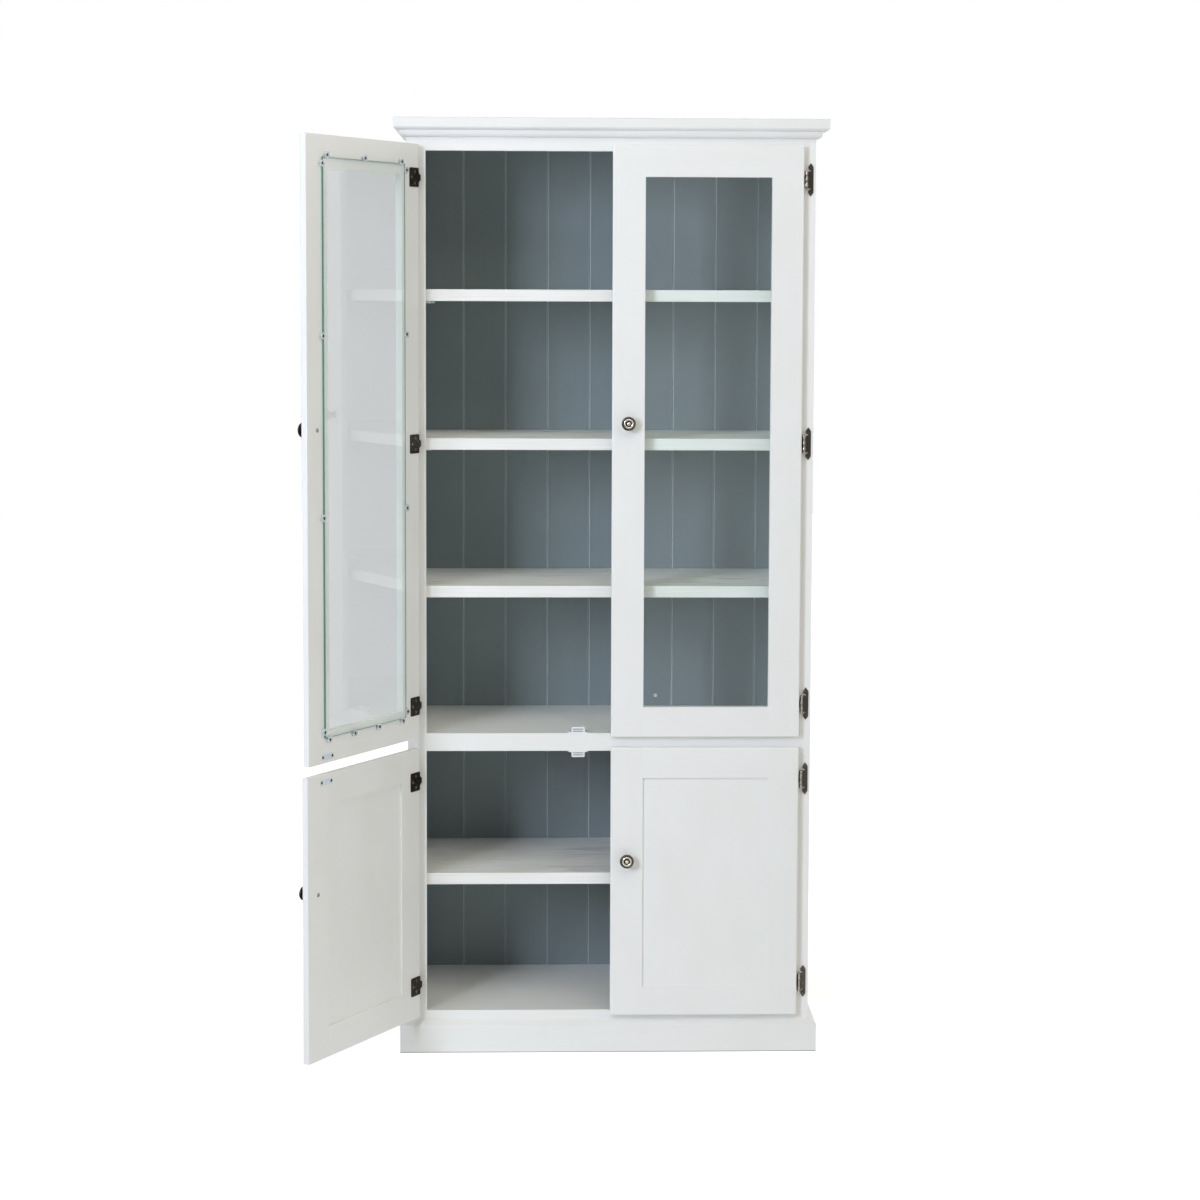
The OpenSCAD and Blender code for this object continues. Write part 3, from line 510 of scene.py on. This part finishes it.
def antique_bronze(name, dark, worn, edge_mm=0.5, gloss=(0.3, 0.48), front=None, rest_wear=0.2):
    """Die-cast and stamped metal, plated bronze, blackened and rubbed back: nearly black in hollows, brown
    and brighter where hands and the tumbling drum have worn its edges, and on its front if it has one,
    which carries a painted highlight as well."""
    material, tree = new_material(name)
    place = add(tree, "ShaderNodeTexCoord").outputs["Object"]
    flat = add(tree, "ShaderNodeNewGeometry").outputs["Normal"]
    rounded = add(tree, "ShaderNodeBevel", samples=6, Radius=edge_mm * MM).outputs[0]
    likeness = add(tree, "ShaderNodeVectorMath", [(flat, 0), (rounded, 1)], operation="DOT_PRODUCT")
    edge_wear = add(
        tree,
        "ShaderNodeMapRange",
        [(likeness.outputs["Value"], "Value")],
        From_Min=0.999,
        From_Max=0.9,
        To_Max=0.75,
    )
    # Wear comes and goes over 4 mm
    patches = add(tree, "ShaderNodeTexNoise", [(place, "Vector")], Scale=1 / (4 * MM), Detail=4.0)
    cloud_wear = add(
        tree,
        "ShaderNodeMapRange",
        [(patches.outputs["Fac"], "Value")],
        From_Min=0.45,
        From_Max=0.75,
        To_Max=0.45,
    )
    links = [(edge_wear.outputs[0], 0), (cloud_wear.outputs[0], 1)]
    wear_and_highlight = add(tree, "ShaderNodeMath", links, operation="ADD", use_clamp=True).outputs[0]
    # A front is made bright where it looks ahead: rubbing on a knob, and a painted highlight on knobs and
    # barrels
    if front:
        rest = add(tree, "ShaderNodeMapRange", [(wear_and_highlight, "Value")], To_Max=rest_wear).outputs[0]
        links = [(rest, 0), (rubbed_and_highlit_front(tree, place, *front), 1)]
        wear_and_highlight = add(tree, "ShaderNodeMath", links, operation="MAXIMUM").outputs[0]
    sky = add(tree, "ShaderNodeAmbientOcclusion", samples=6, only_local=True, Distance=1.5 * MM)
    high = add(tree, "ShaderNodeMapRange", [(sky.outputs["AO"], "Value")], From_Min=0.45, From_Max=0.95)
    wear_and_highlight = add(tree, "ShaderNodeMath", [(wear_and_highlight, 0), (high.outputs[0], 1)], operation="MULTIPLY").outputs[0]
    colour = add(
        tree,
        "ShaderNodeMix",
        [(wear_and_highlight, 0)],
        data_type="RGBA",
        in6=linear(dark),
        in7=linear(worn),
    )
    bright, matt = gloss
    rough = add(tree, "ShaderNodeMapRange", [(wear_and_highlight, "Value")], To_Min=matt, To_Max=bright)
    # The tumbling drum leaves a grit of 0.3 mm
    grit = add(tree, "ShaderNodeTexNoise", [(place, "Vector")], Scale=1 / (0.3 * MM), Detail=2.0)
    relief = add(
        tree,
        "ShaderNodeBump",
        [(grit.outputs["Fac"], "Height")],
        Strength=0.35,
        Distance=0.02 * MM,
    )
    metal = add(
        tree,
        "ShaderNodeBsdfPrincipled",
        [(colour.outputs[2], "Base Color"), (rough.outputs[0], "Roughness"), (relief.outputs[0], "Normal")],
        Metallic=1.0,
    )
    add(tree, "ShaderNodeOutputMaterial", [(metal.outputs[0], "Surface")])
    return material


# Dressing the carcass

# How squarely a face has to look ahead for the painted highlight and the rubbing, as cosines: start and
# full
BARREL_TILTS = (0.84, 0.95)
KNOB_TILTS = (0.62, 0.88)


def barrel_highlight(door, ahead):
    """Where the barrel of a hinge stands out in front of its leaves. A painted highlight runs down it
    there.
    """
    ahead = Vector(ahead).normalized()
    return tuple(ahead), ahead.dot(Vector(HINGES[door]["pos_m"])) + 2 * MM, BARREL_TILTS


WHITE = {along: painted_wood("satin_white_painted_wood_" + along, along) for along in "xyz"}
MOULDING = {}
# The mouldings carry painted light in their hollows
for along in "xy":
    MOULDING[along] = painted_wood("satin_white_painted_moulding_" + along, along, extra=hollows_painted_light)
# The plinth's front has a painted contact shadow along its foot
PLINTH = painted_wood("satin_white_painted_plinth", "x", extra=foot_painted_shadow)
# The shelves' white is a touch lighter than the other paint, as painted light on their tops
SHELF = painted_wood(
    "satin_white_painted_shelf",
    "x",
    body="F6F6F4",
    thin="E4E2DB",
    grain_mm=0.06,
    tint=0.6,
    dull=0.5,
    extra=broad_grain,
)
# The back boards carry a painted highlight on their chamfers and painted shade in their grooves
BACK = painted_wood(
    "satin_grey_blue_painted_boards",
    "z",
    body="879396",
    thin="7E8A8E",
    grain_mm=0.02,
    tint=0.25,
    dull=0.5,
    extra=chamfer_highlight_groove_shade,
)
# The barrels of the frame leaves carry a painted highlight down their fronts
BRONZE = antique_bronze(
    "blackened_antique_bronze",
    "3B3531",
    "B3AB9E",
    edge_mm=0.3,
    gloss=(0.2, 0.32),
    front=barrel_highlight("upper_right", (0, -1, 0)),
    rest_wear=0.6,
)
PIN_METAL = antique_bronze("rubbed_bronze_hinge_pins", "6E655C", "E8E0D4", edge_mm=1.0, gloss=(0.2, 0.32))
SCREW_METAL = antique_bronze("blackened_bronze_screws", "2A241E", "7C6C50", edge_mm=0.2)
RUBBED_SCREW = antique_bronze("rubbed_bronze_screws", "3A332C", "A89A84", edge_mm=0.4)
BRASS = antique_bronze("dulled_brass_screws", "6A5F42", "CDBE92", edge_mm=0.3)
ZINC = zinc_plate("zinc_plated_steel", "EEF5F8", "DCE6EC")
DULL_ZINC = zinc_plate("dulled_zinc_screws", "AEB4B6", "8F9698")
POLES = zinc_plate("blued_steel_pole_plates", "3A4458", "262E3E")
GLASS = float_glass("clear_float_glass")
GLASS_EDGE = ground_glass_edge("ground_edge_of_float_glass")
CLIP = clear_plastic("clear_moulded_polycarbonate")
CASE = white_plastic("white_moulded_nylon")


def finish_node(node, material):
    """Gives a CAD node its material."""
    piece = frame["nodes"][node]
    piece.data.materials.clear()
    piece.data.materials.append(material)
    return piece


for node, along in {
    "side_left": "z",
    "side_right": "z",
    "top_panel": "x",
    "middle_board": "x",
    "floor_board": "x",
    "frame_stile_left": "z",
    "frame_stile_right": "z",
    "frame_top_rail": "x",
    "frame_middle_rail": "x",
    "frame_bottom_rail": "x",
    "plinth_left": "y",
    "plinth_right": "y",
}.items():
    finish_node(node, WHITE[along])
for node, along in {"cornice_front": "x", "cornice_left": "y", "cornice_right": "y"}.items():
    finish_node(node, MOULDING[along])
finish_node("plinth_front", PLINTH)
for node in ("upper_shelf_1", "upper_shelf_2", "upper_shelf_3", "lower_shelf"):
    finish_node(node, SHELF)
finish_node("back_boards", BACK)
finish_node("shelf_supports", ZINC)
finish_node("catch_cases", CASE)
finish_node("catch_magnets", POLES)
finish_node("frame_hinge_leaves", BRONZE)
finish_node("hinge_pins", PIN_METAL)

# Dressing the doors

for door in DOORS:
    swing = hang(door)
    side = 1 if "right" in door else -1
    # The grain is laid out for a closed door, so it has to know how far this one is turned
    opened = -math.atan2(side * swing[1][0], side * swing[0][0])
    upright = painted_wood("satin_white_painted_stiles_" + door, "z", opened)
    level = painted_wood("satin_white_painted_rails_" + door, "x", opened)
    finish_node(door + "_stiles", upright)
    finish_node(door + "_rails", level)
    if door in UPPER_DOORS:
        finish_node(door + "_clips", CLIP)
    else:
        finish_node(door + "_panel", upright)
    finish_node(door + "_strike", ZINC)
    # The middle knuckle of each barrel carries a painted highlight down its front
    leaf = antique_bronze(
        "blackened_bronze_leaves_" + door,
        "332D29",
        "A39B8E",
        edge_mm=0.5,
        gloss=(0.26, 0.4),
        front=barrel_highlight(door, swing.to_3x3() @ Vector((0, -1, 0))),
        rest_wear=0.5,
    )
    finish_node(door + "_hinge_leaves", leaf)


# Turned and cut hardware, finer than the solids that it stands for

SHARP = math.radians(32)  # edges turned by more than this stay sharp
SMALL_STEPS, KNOB_STEPS = 32, 72  # steps round a screw or a plug, and round a knob


def new_piece(name, points, faces, material, slot, body, *nodes):
    """A piece of the cabinet from its points, in metres, and its faces."""
    mesh = bpy.data.meshes.new(name)
    mesh.from_pydata([tuple(p) for p in points], [], faces)
    mesh.validate()
    mesh.shade_smooth()
    mesh.set_sharp_from_angle(angle=SHARP)
    mesh.materials.append(material)
    piece = bpy.data.objects.new(name, mesh)
    bpy.context.scene.collection.objects.link(piece)
    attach(piece, body)
    if nodes:
        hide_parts(*nodes)
    return piece


def softened(corners, cuts=4):
    """A smooth line through these points."""
    line = []
    for i in range(len(corners) - 1):
        a, b, c, d = (
            np.array(corners[min(max(i + k, 0), len(corners) - 1)], float) for k in (-1, 0, 1, 2)
        )
        for t in np.arange(cuts) / cuts:
            bend = 2 * b + (c - a) * t + (2 * a - 5 * b + 4 * c - d) * t**2 + (3 * b - a - 3 * c + d) * t**3
            line.append(tuple(bend / 2))
    return line + [tuple(corners[-1])]


def turned(line, steps):
    """A piece turned on the lathe about +Z from a line of (radius, height) in millimetres, which starts and
    ends on the axis."""
    points = [(0, 0, line[0][1] * MM)]
    for radius, height in line[1:-1]:
        for i in range(steps):
            angle = 2 * math.pi * i / steps
            points.append((radius * MM * math.cos(angle), radius * MM * math.sin(angle), height * MM))
    points.append((0, 0, line[-1][1] * MM))
    last, rings = len(points) - 1, len(line) - 2
    faces = [(0, 1 + (i + 1) % steps, 1 + i) for i in range(steps)]
    for ring in range(rings - 1):
        low, high = 1 + ring * steps, 1 + (ring + 1) * steps
        faces += [(low + i, low + (i + 1) % steps, high + (i + 1) % steps, high + i) for i in range(steps)]
    top = 1 + (rings - 1) * steps
    faces += [(top + i, top + (i + 1) % steps, last) for i in range(steps)]
    return np.array(points), faces


def moved(points, faces, matrix):
    """The same shape elsewhere. A mirrored one keeps its outside out."""
    there = points @ np.array(matrix.to_3x3()).T + np.array(matrix.translation)
    if matrix.determinant() < 0:
        faces = [tuple(reversed(face)) for face in faces]
    return there, faces


def joined(shapes):
    """Several shapes as one."""
    points, faces, count = [], [], 0
    for some_points, some_faces in shapes:
        points.append(some_points)
        faces += [tuple(count + i for i in face) for face in some_faces]
        count += len(some_points)
    return np.vstack(points), faces


# Knob: a foot, a waisted neck, a beaded rim, then two rings and a button turned into the face
KNOB_LINE = [
    (0, 0), (7.6, 0), (8, 0.4), (8, 1.2), (7.5, 1.9), (6.5, 2.5), (5.9, 3.6), (5.6, 5.4), (5.6, 7.6),
    (5.9, 9.6), (6.9, 12.0), (8.6, 14.4), (10.8, 16.4), (13.0, 17.8), (14.2, 18.5), (14.9, 19.5),
    (15, 20.6), (14.7, 21.7), (14.0, 22.7), (13.0, 23.3), (12.3, 23.3), (11.8, 22.8), (11.3, 22.7),
    (10.8, 23.1), (10.2, 23.9), (9.2, 24.5), (8.0, 24.6), (6.9, 24.1), (6.1, 23.3), (5.5, 22.9),
    (5.0, 23.0), (4.6, 23.8), (4.3, 24.9), (3.7, 25.9), (2.7, 26.6), (1.4, 26.95), (0, 27),
]  # fmt: skip
KNOB_RIM = 23.3 * MM  # height of the rim's crest


def screw_shape(head, shank, length, pan):
    """A cross-point screw that points down from a head at z = 0, in millimetres. The head is a pan, or else
    countersunk."""
    cone = (head - shank) / 2
    if pan:
        line = [
            (0, -length), (shank / 2 - 0.3, -length), (shank / 2, 0.4 - length), (shank / 2, -1.6),
            (head / 2 - 0.2, -1.6), (head / 2, -1.4), (head / 2, -0.9), (head / 2 - 0.5, -0.35),
            (head / 2 - 1.5, -0.05), (0, 0),
        ]  # fmt: skip
    else:
        line = [
            (0, -length), (0.3, -length), (shank / 2, 2.2 - length), (shank / 2, -cone), (head / 2, 0),
            (head / 2 - 0.15, 0.1), (head / 4, 0.28), (0, 0.3),
        ]  # fmt: skip
    points, faces = turned(line, SMALL_STEPS)
    # The driver's cross is narrower at its tips, where it goes deep
    reach, half, depth, narrowing = head * 0.29, head * 0.075, head * 0.19, 0.5
    plus = [
        (reach, -half), (reach, half), (half, half), (half, reach), (-half, reach), (-half, half),
        (-reach, half), (-reach, -half), (-half, -half), (-half, -reach), (half, -reach), (half, -half),
    ]  # fmt: skip
    tip = [tuple(a * narrowing if abs(a) > half else a for a in corner) for corner in plus]
    cut_points = [(x * MM, y * MM, MM) for x, y in plus] + [(x * MM, y * MM, -depth * MM) for x, y in tip]
    cut_faces = [tuple(range(12)), tuple(reversed(range(12, 24)))]
    cut_faces += [(12 + i, 12 + (i + 1) % 12, (i + 1) % 12, i) for i in range(12)]
    blanks = []
    for name, some_points, some_faces in (("blank", points, faces), ("driver", cut_points, cut_faces)):
        mesh = bpy.data.meshes.new(name)
        mesh.from_pydata([tuple(p) for p in some_points], [], some_faces)
        blanks.append(bpy.data.objects.new(name, mesh))
        bpy.context.scene.collection.objects.link(blanks[-1])
    cut = blanks[0].modifiers.new("cut", "BOOLEAN")
    cut.object, cut.operation, cut.solver = blanks[1], "DIFFERENCE", "EXACT"
    bpy.context.view_layer.update()
    mesh = blanks[0].evaluated_get(bpy.context.evaluated_depsgraph_get()).to_mesh()
    shape = np.array([v.co for v in mesh.vertices]), [tuple(p.vertices) for p in mesh.polygons]
    for blank in blanks:
        bpy.data.objects.remove(blank)
    return shape


def eased_block(low, high, ease):
    """A block from corner to corner, in metres, with all its edges cut at 45 degrees."""
    shape = bmesh.new()
    bmesh.ops.create_cube(shape, size=1)
    for corner in shape.verts:
        corner.co = [a + (b - a) * (c + 0.5) for a, b, c in zip(low, high, corner.co)]
    bmesh.ops.bevel(shape, geom=shape.edges[:], offset=ease, segments=1, affect="EDGES")
    shape.normal_update()
    block = np.array([v.co for v in shape.verts]), [tuple(v.index for v in f.verts) for f in shape.faces]
    shape.free()
    return block


def solids_of(node):
    """The corners of each separate solid in a CAD node."""
    shape = bmesh.new()
    shape.from_mesh(frame["nodes"][node].data)
    bmesh.ops.remove_doubles(shape, verts=shape.verts, dist=SAME_POINT)
    left, found = set(shape.verts), []
    for start in shape.verts:
        if start not in left:
            continue
        left.remove(start)
        front, group = [start], []
        while front:
            corner = front.pop()
            group.append(tuple(corner.co))
            for edge in corner.link_edges:
                other = edge.other_vert(corner)
                if other in left:
                    left.remove(other)
                    front.append(other)
        found.append(np.array(group))
    shape.free()
    return found


SCREWS = {}
HINGE_REACH = 40 * MM  # screws nearer than this to a hinge hold its leaves, and have a finish of their own
KNOB_SCREW = 20  # a screw longer than this, in millimetres, holds a knob and has a pan head
PAN_SHANK, SUNK_SHANK = 4.0, 2.8
END_BAND = 0.1 * MM  # corners within this of a screw's end belong to that end


def place_screws(node, body, back):
    """Puts a cut screw where each plain one of the node is. They lie along the cabinet's axes or a door's
    back."""
    shapes, finishes = [], []
    for corners in solids_of(node):
        axis = max(((0, 1, 0), (0, 0, 1), tuple(back)), key=lambda a: np.ptp(corners @ np.array(a)))
        height = corners @ np.array(axis)
        middle = (corners.max(0) + corners.min(0)) / 2
        middle = middle - np.array(axis) * (middle @ np.array(axis))
        reach = np.linalg.norm(corners - np.outer(height, axis) - middle, axis=1)
        top, bottom = height > height.max() - END_BAND, height < height.min() + END_BAND
        if reach[top].max() < reach[bottom].max():
            axis, height = tuple(-a for a in axis), -height
        length, head = round(np.ptp(height) / MM, 1), round(2 * reach.max() / MM, 1)
        holds_knob = bool(length > KNOB_SCREW)
        size = (head, PAN_SHANK if holds_knob else SUNK_SHANK, length, holds_knob)
        if size not in SCREWS:
            SCREWS[size] = screw_shape(*size)
        out = Vector(axis)
        place = Matrix.Translation(Vector(middle) + out * float(height.max()))
        shapes.append(moved(*SCREWS[size], place @ out.to_track_quat("Z", "Y").to_matrix().to_4x4()))
        off = corners.mean(0)[:2]
        in_hinge = min(math.dist(off, joint["pos_m"][:2]) for joint in frame["joints"]) < HINGE_REACH
        # 0 is the plain finish, 1 that of hinge screws and 2 that of knob screws
        finishes += [2 if holds_knob else int(in_hinge)] * len(shapes[-1][1])
    name = node.replace("screws", "cut_screws")
    piece = new_piece(name, *joined(shapes), SCREW_METAL, "dark_bronze", body, node)
    piece.data.materials.append(RUBBED_SCREW if body == "carcass" else BRASS)
    piece.data.materials.append(DULL_ZINC)
    piece.data.polygons.foreach_set("material_index", finishes)


PANE_EASE = 0.4 * MM
FACE_ON = 0.9  # facets that look through the pane, by this cosine, are its faces and the rest its edge

place_screws("frame_screws", "carcass", (0, 1, 0))
for door in DOORS:
    swing = hang(door)
    inward = (swing.to_3x3() @ Vector((0, 1, 0))).normalized()
    ahead = (swing.to_3x3() @ Vector((0, -1, 0))).normalized()
    place_screws(door + "_screws", door + "_door", inward)
    lowest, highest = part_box(door.replace("left", "right") + "_knob")
    foot = Vector(((lowest.x + highest.x) / 2, highest.y, (lowest.z + highest.z) / 2))
    place = swing @ Matrix.Translation(foot) @ Matrix.Rotation(math.pi / 2, 4, "X")
    knob = moved(*turned(softened(KNOB_LINE), KNOB_STEPS), place)
    # The knob's face is bright where it looks ahead: rubbed by hands, and a painted highlight
    metal = antique_bronze(
        "rubbed_bronze_knob_" + door,
        "2E2925",
        "D6CFC1",
        edge_mm=0.6,
        gloss=(0.2, 0.36),
        front=(tuple(ahead), ahead.dot(swing @ foot) + KNOB_RIM, KNOB_TILTS),
    )
    new_piece(door + "_turned_knob", *knob, metal, "dark_bronze", door + "_door", door + "_knob")
    if door in UPPER_DOORS:
        low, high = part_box("upper_right_glass")
        pane, outward = moved(*eased_block(low, high, PANE_EASE), swing)
        piece = new_piece(door + "_pane", pane, outward, GLASS, "glass", door + "_door", door + "_glass")
        piece.data.materials.append(GLASS_EDGE)
        for face in piece.data.polygons:
            face.material_index = 0 if abs(face.normal @ inward) > FACE_ON else 1


# A small domed plug fills a hole in one of the back boards
PLUG_LINE = [
    (0, -4), (2.4, -4), (2.6, -3.6), (2.6, 0), (4.1, 0), (4.3, 0.3), (4.0, 0.9), (3.2, 1.3), (2.2, 1.1),
    (1.5, 0.5), (0, 0.4),
]  # fmt: skip
PLUG_X, PLUG_Z = 117 * MM, 716.5 * MM
board_face = Vector((PLUG_X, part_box("back_boards")[0].y, PLUG_Z))
place = Matrix.Translation(board_face) @ Matrix.Rotation(math.pi / 2, 4, "X")
plug = moved(*turned(PLUG_LINE, SMALL_STEPS), place)
new_piece("back_board_plug", *plug, CASE, "white_plastic", "carcass")


def eased(node, width_mm):
    """Breaks the sharp edges of a CAD node, as deburring or grinding does."""
    piece = frame["nodes"][node]
    piece.modifiers.new("one_skin", "WELD").merge_threshold = SAME_POINT
    edge = piece.modifiers.new("eased", "BEVEL")
    edge.width, edge.segments, edge.limit_method = width_mm * MM, 2, "ANGLE"
    edge.angle_limit, edge.harden_normals = math.radians(40), True


eased("frame_hinge_leaves", 0.25)
eased("catch_cases", 0.4)
eased("shelf_supports", 0.4)
eased("plinth_front", 1.0)
for door in DOORS:
    eased(door + "_hinge_leaves", 0.25)
    eased(door + "_strike", 0.2)
    if door in UPPER_DOORS:
        eased(door + "_clips", 0.5)


# Studio

PHOTO_SIDE = 1200
FOCAL_PX = 2543.958
HORIZON_ROW = 500.321
CAMERA_PLACE = (-0.16817, -5.39851, 1.62047)
camera_data = bpy.data.cameras.new("camera")
camera = bpy.data.objects.new("camera", camera_data)
bpy.context.scene.collection.objects.link(camera)
bpy.context.scene.camera = camera
camera_data.sensor_width = 36
camera_data.lens = FOCAL_PX / PHOTO_SIDE * camera_data.sensor_width
camera_data.shift_y = (HORIZON_ROW - PHOTO_SIDE / 2) / PHOTO_SIDE
camera_data.clip_end = 100
down, aside, roll = (math.radians(angle) for angle in (4.51382, 1.55176, 0.20297))
forward = Vector((math.sin(aside) * math.cos(down), math.cos(aside) * math.cos(down), -math.sin(down)))
level_right = Vector((math.cos(aside), -math.sin(aside), 0))
level_up = level_right.cross(forward)
right = level_right * math.cos(roll) + level_up * math.sin(roll)
up = -level_right * math.sin(roll) + level_up * math.cos(roll)
turn = Matrix((right, up, -forward)).transposed().to_4x4()
camera.matrix_world = Matrix.Translation(CAMERA_PLACE) @ turn

# How bright the room is from the left, from the right and from above. Behind the camera it is dark
FILL_LEFT, FILL_RIGHT, FILL_ABOVE = 0.08, 1.46, 0.22
GLOSS_AHEAD = 0.38  # gloss shows the white backdrop, and this dimmer room behind the camera
WINDOW = 0.6  # how much brighter gloss shows the room's right side
FLOOR_LIFT = 0.6  # whitens the floor near the cabinet for the camera, and leaves its soft shadow
BEHIND_GLASS = (0.63, 0.636, 0.643, 1)  # the backdrop through the glass, greyer than round the cabinet
FLOOR_RADIUS = 14


def by_ray(tree, rays, plain, mirrored, through_glass, seen):
    """What a surface or the sky shows to each kind of ray. A ray through glass counts as glossy too, so it
    comes after gloss."""
    shown = plain
    kinds = (("Is Glossy Ray", mirrored), ("Is Transmission Ray", through_glass), ("Is Camera Ray", seen))
    for ray, shader in kinds:
        links = [(rays.outputs[ray], 0), (shown.outputs[0], 1), (shader.outputs[0], 2)]
        shown = add(tree, "ShaderNodeMixShader", links)
    return shown.outputs[0]


def studio_floor():
    """A pale floor: white to the camera, with the cabinet's soft shadow."""
    mesh = bpy.data.meshes.new("studio_floor")
    shape = bmesh.new()
    bmesh.ops.create_circle(shape, cap_ends=True, segments=96, radius=FLOOR_RADIUS)
    shape.to_mesh(mesh)
    shape.free()
    floor = bpy.data.objects.new("studio_floor", mesh)
    bpy.context.scene.collection.objects.link(floor)
    material, tree = new_material("pale_studio_floor")
    rays = add(tree, "ShaderNodeLightPath")
    card = add(tree, "ShaderNodeBsdfDiffuse", Color=linear("F0F0F0"))
    place = add(tree, "ShaderNodeTexCoord").outputs["Object"]
    parts = add(tree, "ShaderNodeSeparateXYZ", [(place, 0)])
    away = add(tree, "ShaderNodeVectorMath", [(place, 0)], operation="LENGTH").outputs["Value"]
    # The first brightens with distance for the camera. The second shows gloss the floor white round the
    # cabinet, and as dim as the room behind the camera
    lift, nearness = (
        add(
            tree,
            "ShaderNodeMapRange",
            [(value, "Value")],
            interpolation_type="SMOOTHSTEP",
            From_Min=low,
            From_Max=high,
            To_Min=at_low,
        ).outputs[0]
        for value, low, high, at_low in (
            (away, 0.6, 1.3, FLOOR_LIFT),
            (parts.outputs["Y"], -4.2, -1.5, GLOSS_AHEAD),
        )
    )
    lifted = add(tree, "ShaderNodeEmission", [(lift, "Strength")])
    whitened = add(tree, "ShaderNodeAddShader", [(card.outputs[0], 0), (lifted.outputs[0], 1)])
    mirrored = add(tree, "ShaderNodeEmission", [(nearness, "Strength")])
    grey = add(tree, "ShaderNodeEmission", Color=BEHIND_GLASS)
    shown = by_ray(tree, rays, card, mirrored, grey, whitened)
    add(tree, "ShaderNodeOutputMaterial", [(shown, "Surface")])
    mesh.materials.append(material)


def studio_world():
    """The room's light. The camera sees plain white, and sees it greyer through the glass."""
    world = bpy.data.worlds.new("studio")
    bpy.context.scene.world = world
    world.use_nodes = True
    tree = world.node_tree
    tree.nodes.clear()
    rays = add(tree, "ShaderNodeLightPath")
    direction = add(tree, "ShaderNodeTexCoord").outputs["Generated"]
    parts = add(tree, "ShaderNodeSeparateXYZ", [(direction, 0)])
    # Each part of the light goes softly from one value to another with the direction
    aside, above, not_ahead, backdrop, window = (
        add(
            tree,
            "ShaderNodeMapRange",
            [(parts.outputs[axis], "Value")],
            interpolation_type="SMOOTHSTEP",
            From_Min=low,
            From_Max=high,
            To_Min=at_low,
            To_Max=at_high,
        ).outputs[0]
        for axis, low, high, at_low, at_high in (
            ("X", -0.3, 0.3, FILL_LEFT, FILL_RIGHT),
            ("Z", 0.35, 0.75, 0.0, 1.0),
            ("Y", -0.9, -0.6, 0.0, 1.0),
            ("Y", -0.97, -0.7, GLOSS_AHEAD, 1.0),
            ("X", 0.3, 0.7, 0.0, WINDOW),
        )
    )
    around = add(tree, "ShaderNodeMix", [(above, 0), (aside, 2)], data_type="FLOAT", in3=FILL_ABOVE)
    links = [(around.outputs[0], 0), (not_ahead, 1)]
    strength = add(tree, "ShaderNodeMath", links, operation="MULTIPLY").outputs[0]
    colour = add(
        tree,
        "ShaderNodeMix",
        [(above, 0)],
        data_type="RGBA",
        in6=linear("FBFBFF"),
        in7=linear("FFF3D2"),
    ).outputs[2]
    fill = add(tree, "ShaderNodeBackground", [(colour, "Color"), (strength, "Strength")])
    gloss = add(tree, "ShaderNodeMath", [(backdrop, 0), (window, 1)], operation="ADD").outputs[0]
    mirrored = add(tree, "ShaderNodeBackground", [(gloss, "Strength")], Color=(1, 1, 1, 1))
    grey = add(tree, "ShaderNodeBackground", Color=BEHIND_GLASS)
    white = add(tree, "ShaderNodeBackground", Color=(1, 1, 1, 1))
    add(tree, "ShaderNodeOutputWorld", [(by_ray(tree, rays, fill, mirrored, grey, white), "Surface")])


CABINET_MIDDLE = Vector((0, 0, 1.1))


def lamp(name, place, size, watts, colour):
    """A soft rectangular lamp that faces the cabinet's middle."""
    data = bpy.data.lights.new(name, "AREA")
    data.shape = "RECTANGLE"
    data.size, data.size_y = size
    data.energy = watts
    data.color = linear(colour)[:3]
    light = bpy.data.objects.new(name, data)
    bpy.context.scene.collection.objects.link(light)
    light.location = place
    light.rotation_euler = (CABINET_MIDDLE - Vector(place)).to_track_quat("-Z", "Y").to_euler()


lamp("key_lamp", place=(-2.75, -3.9, 2.35), size=(1.1, 1.9), watts=133, colour="E4EDFF")
lamp("overhead_lamp", place=(0, -3.4, 4.8), size=(4.5, 2.5), watts=66, colour="FFFEEC")
studio_floor()
studio_world()
bpy.context.scene.view_settings.view_transform = "Standard"
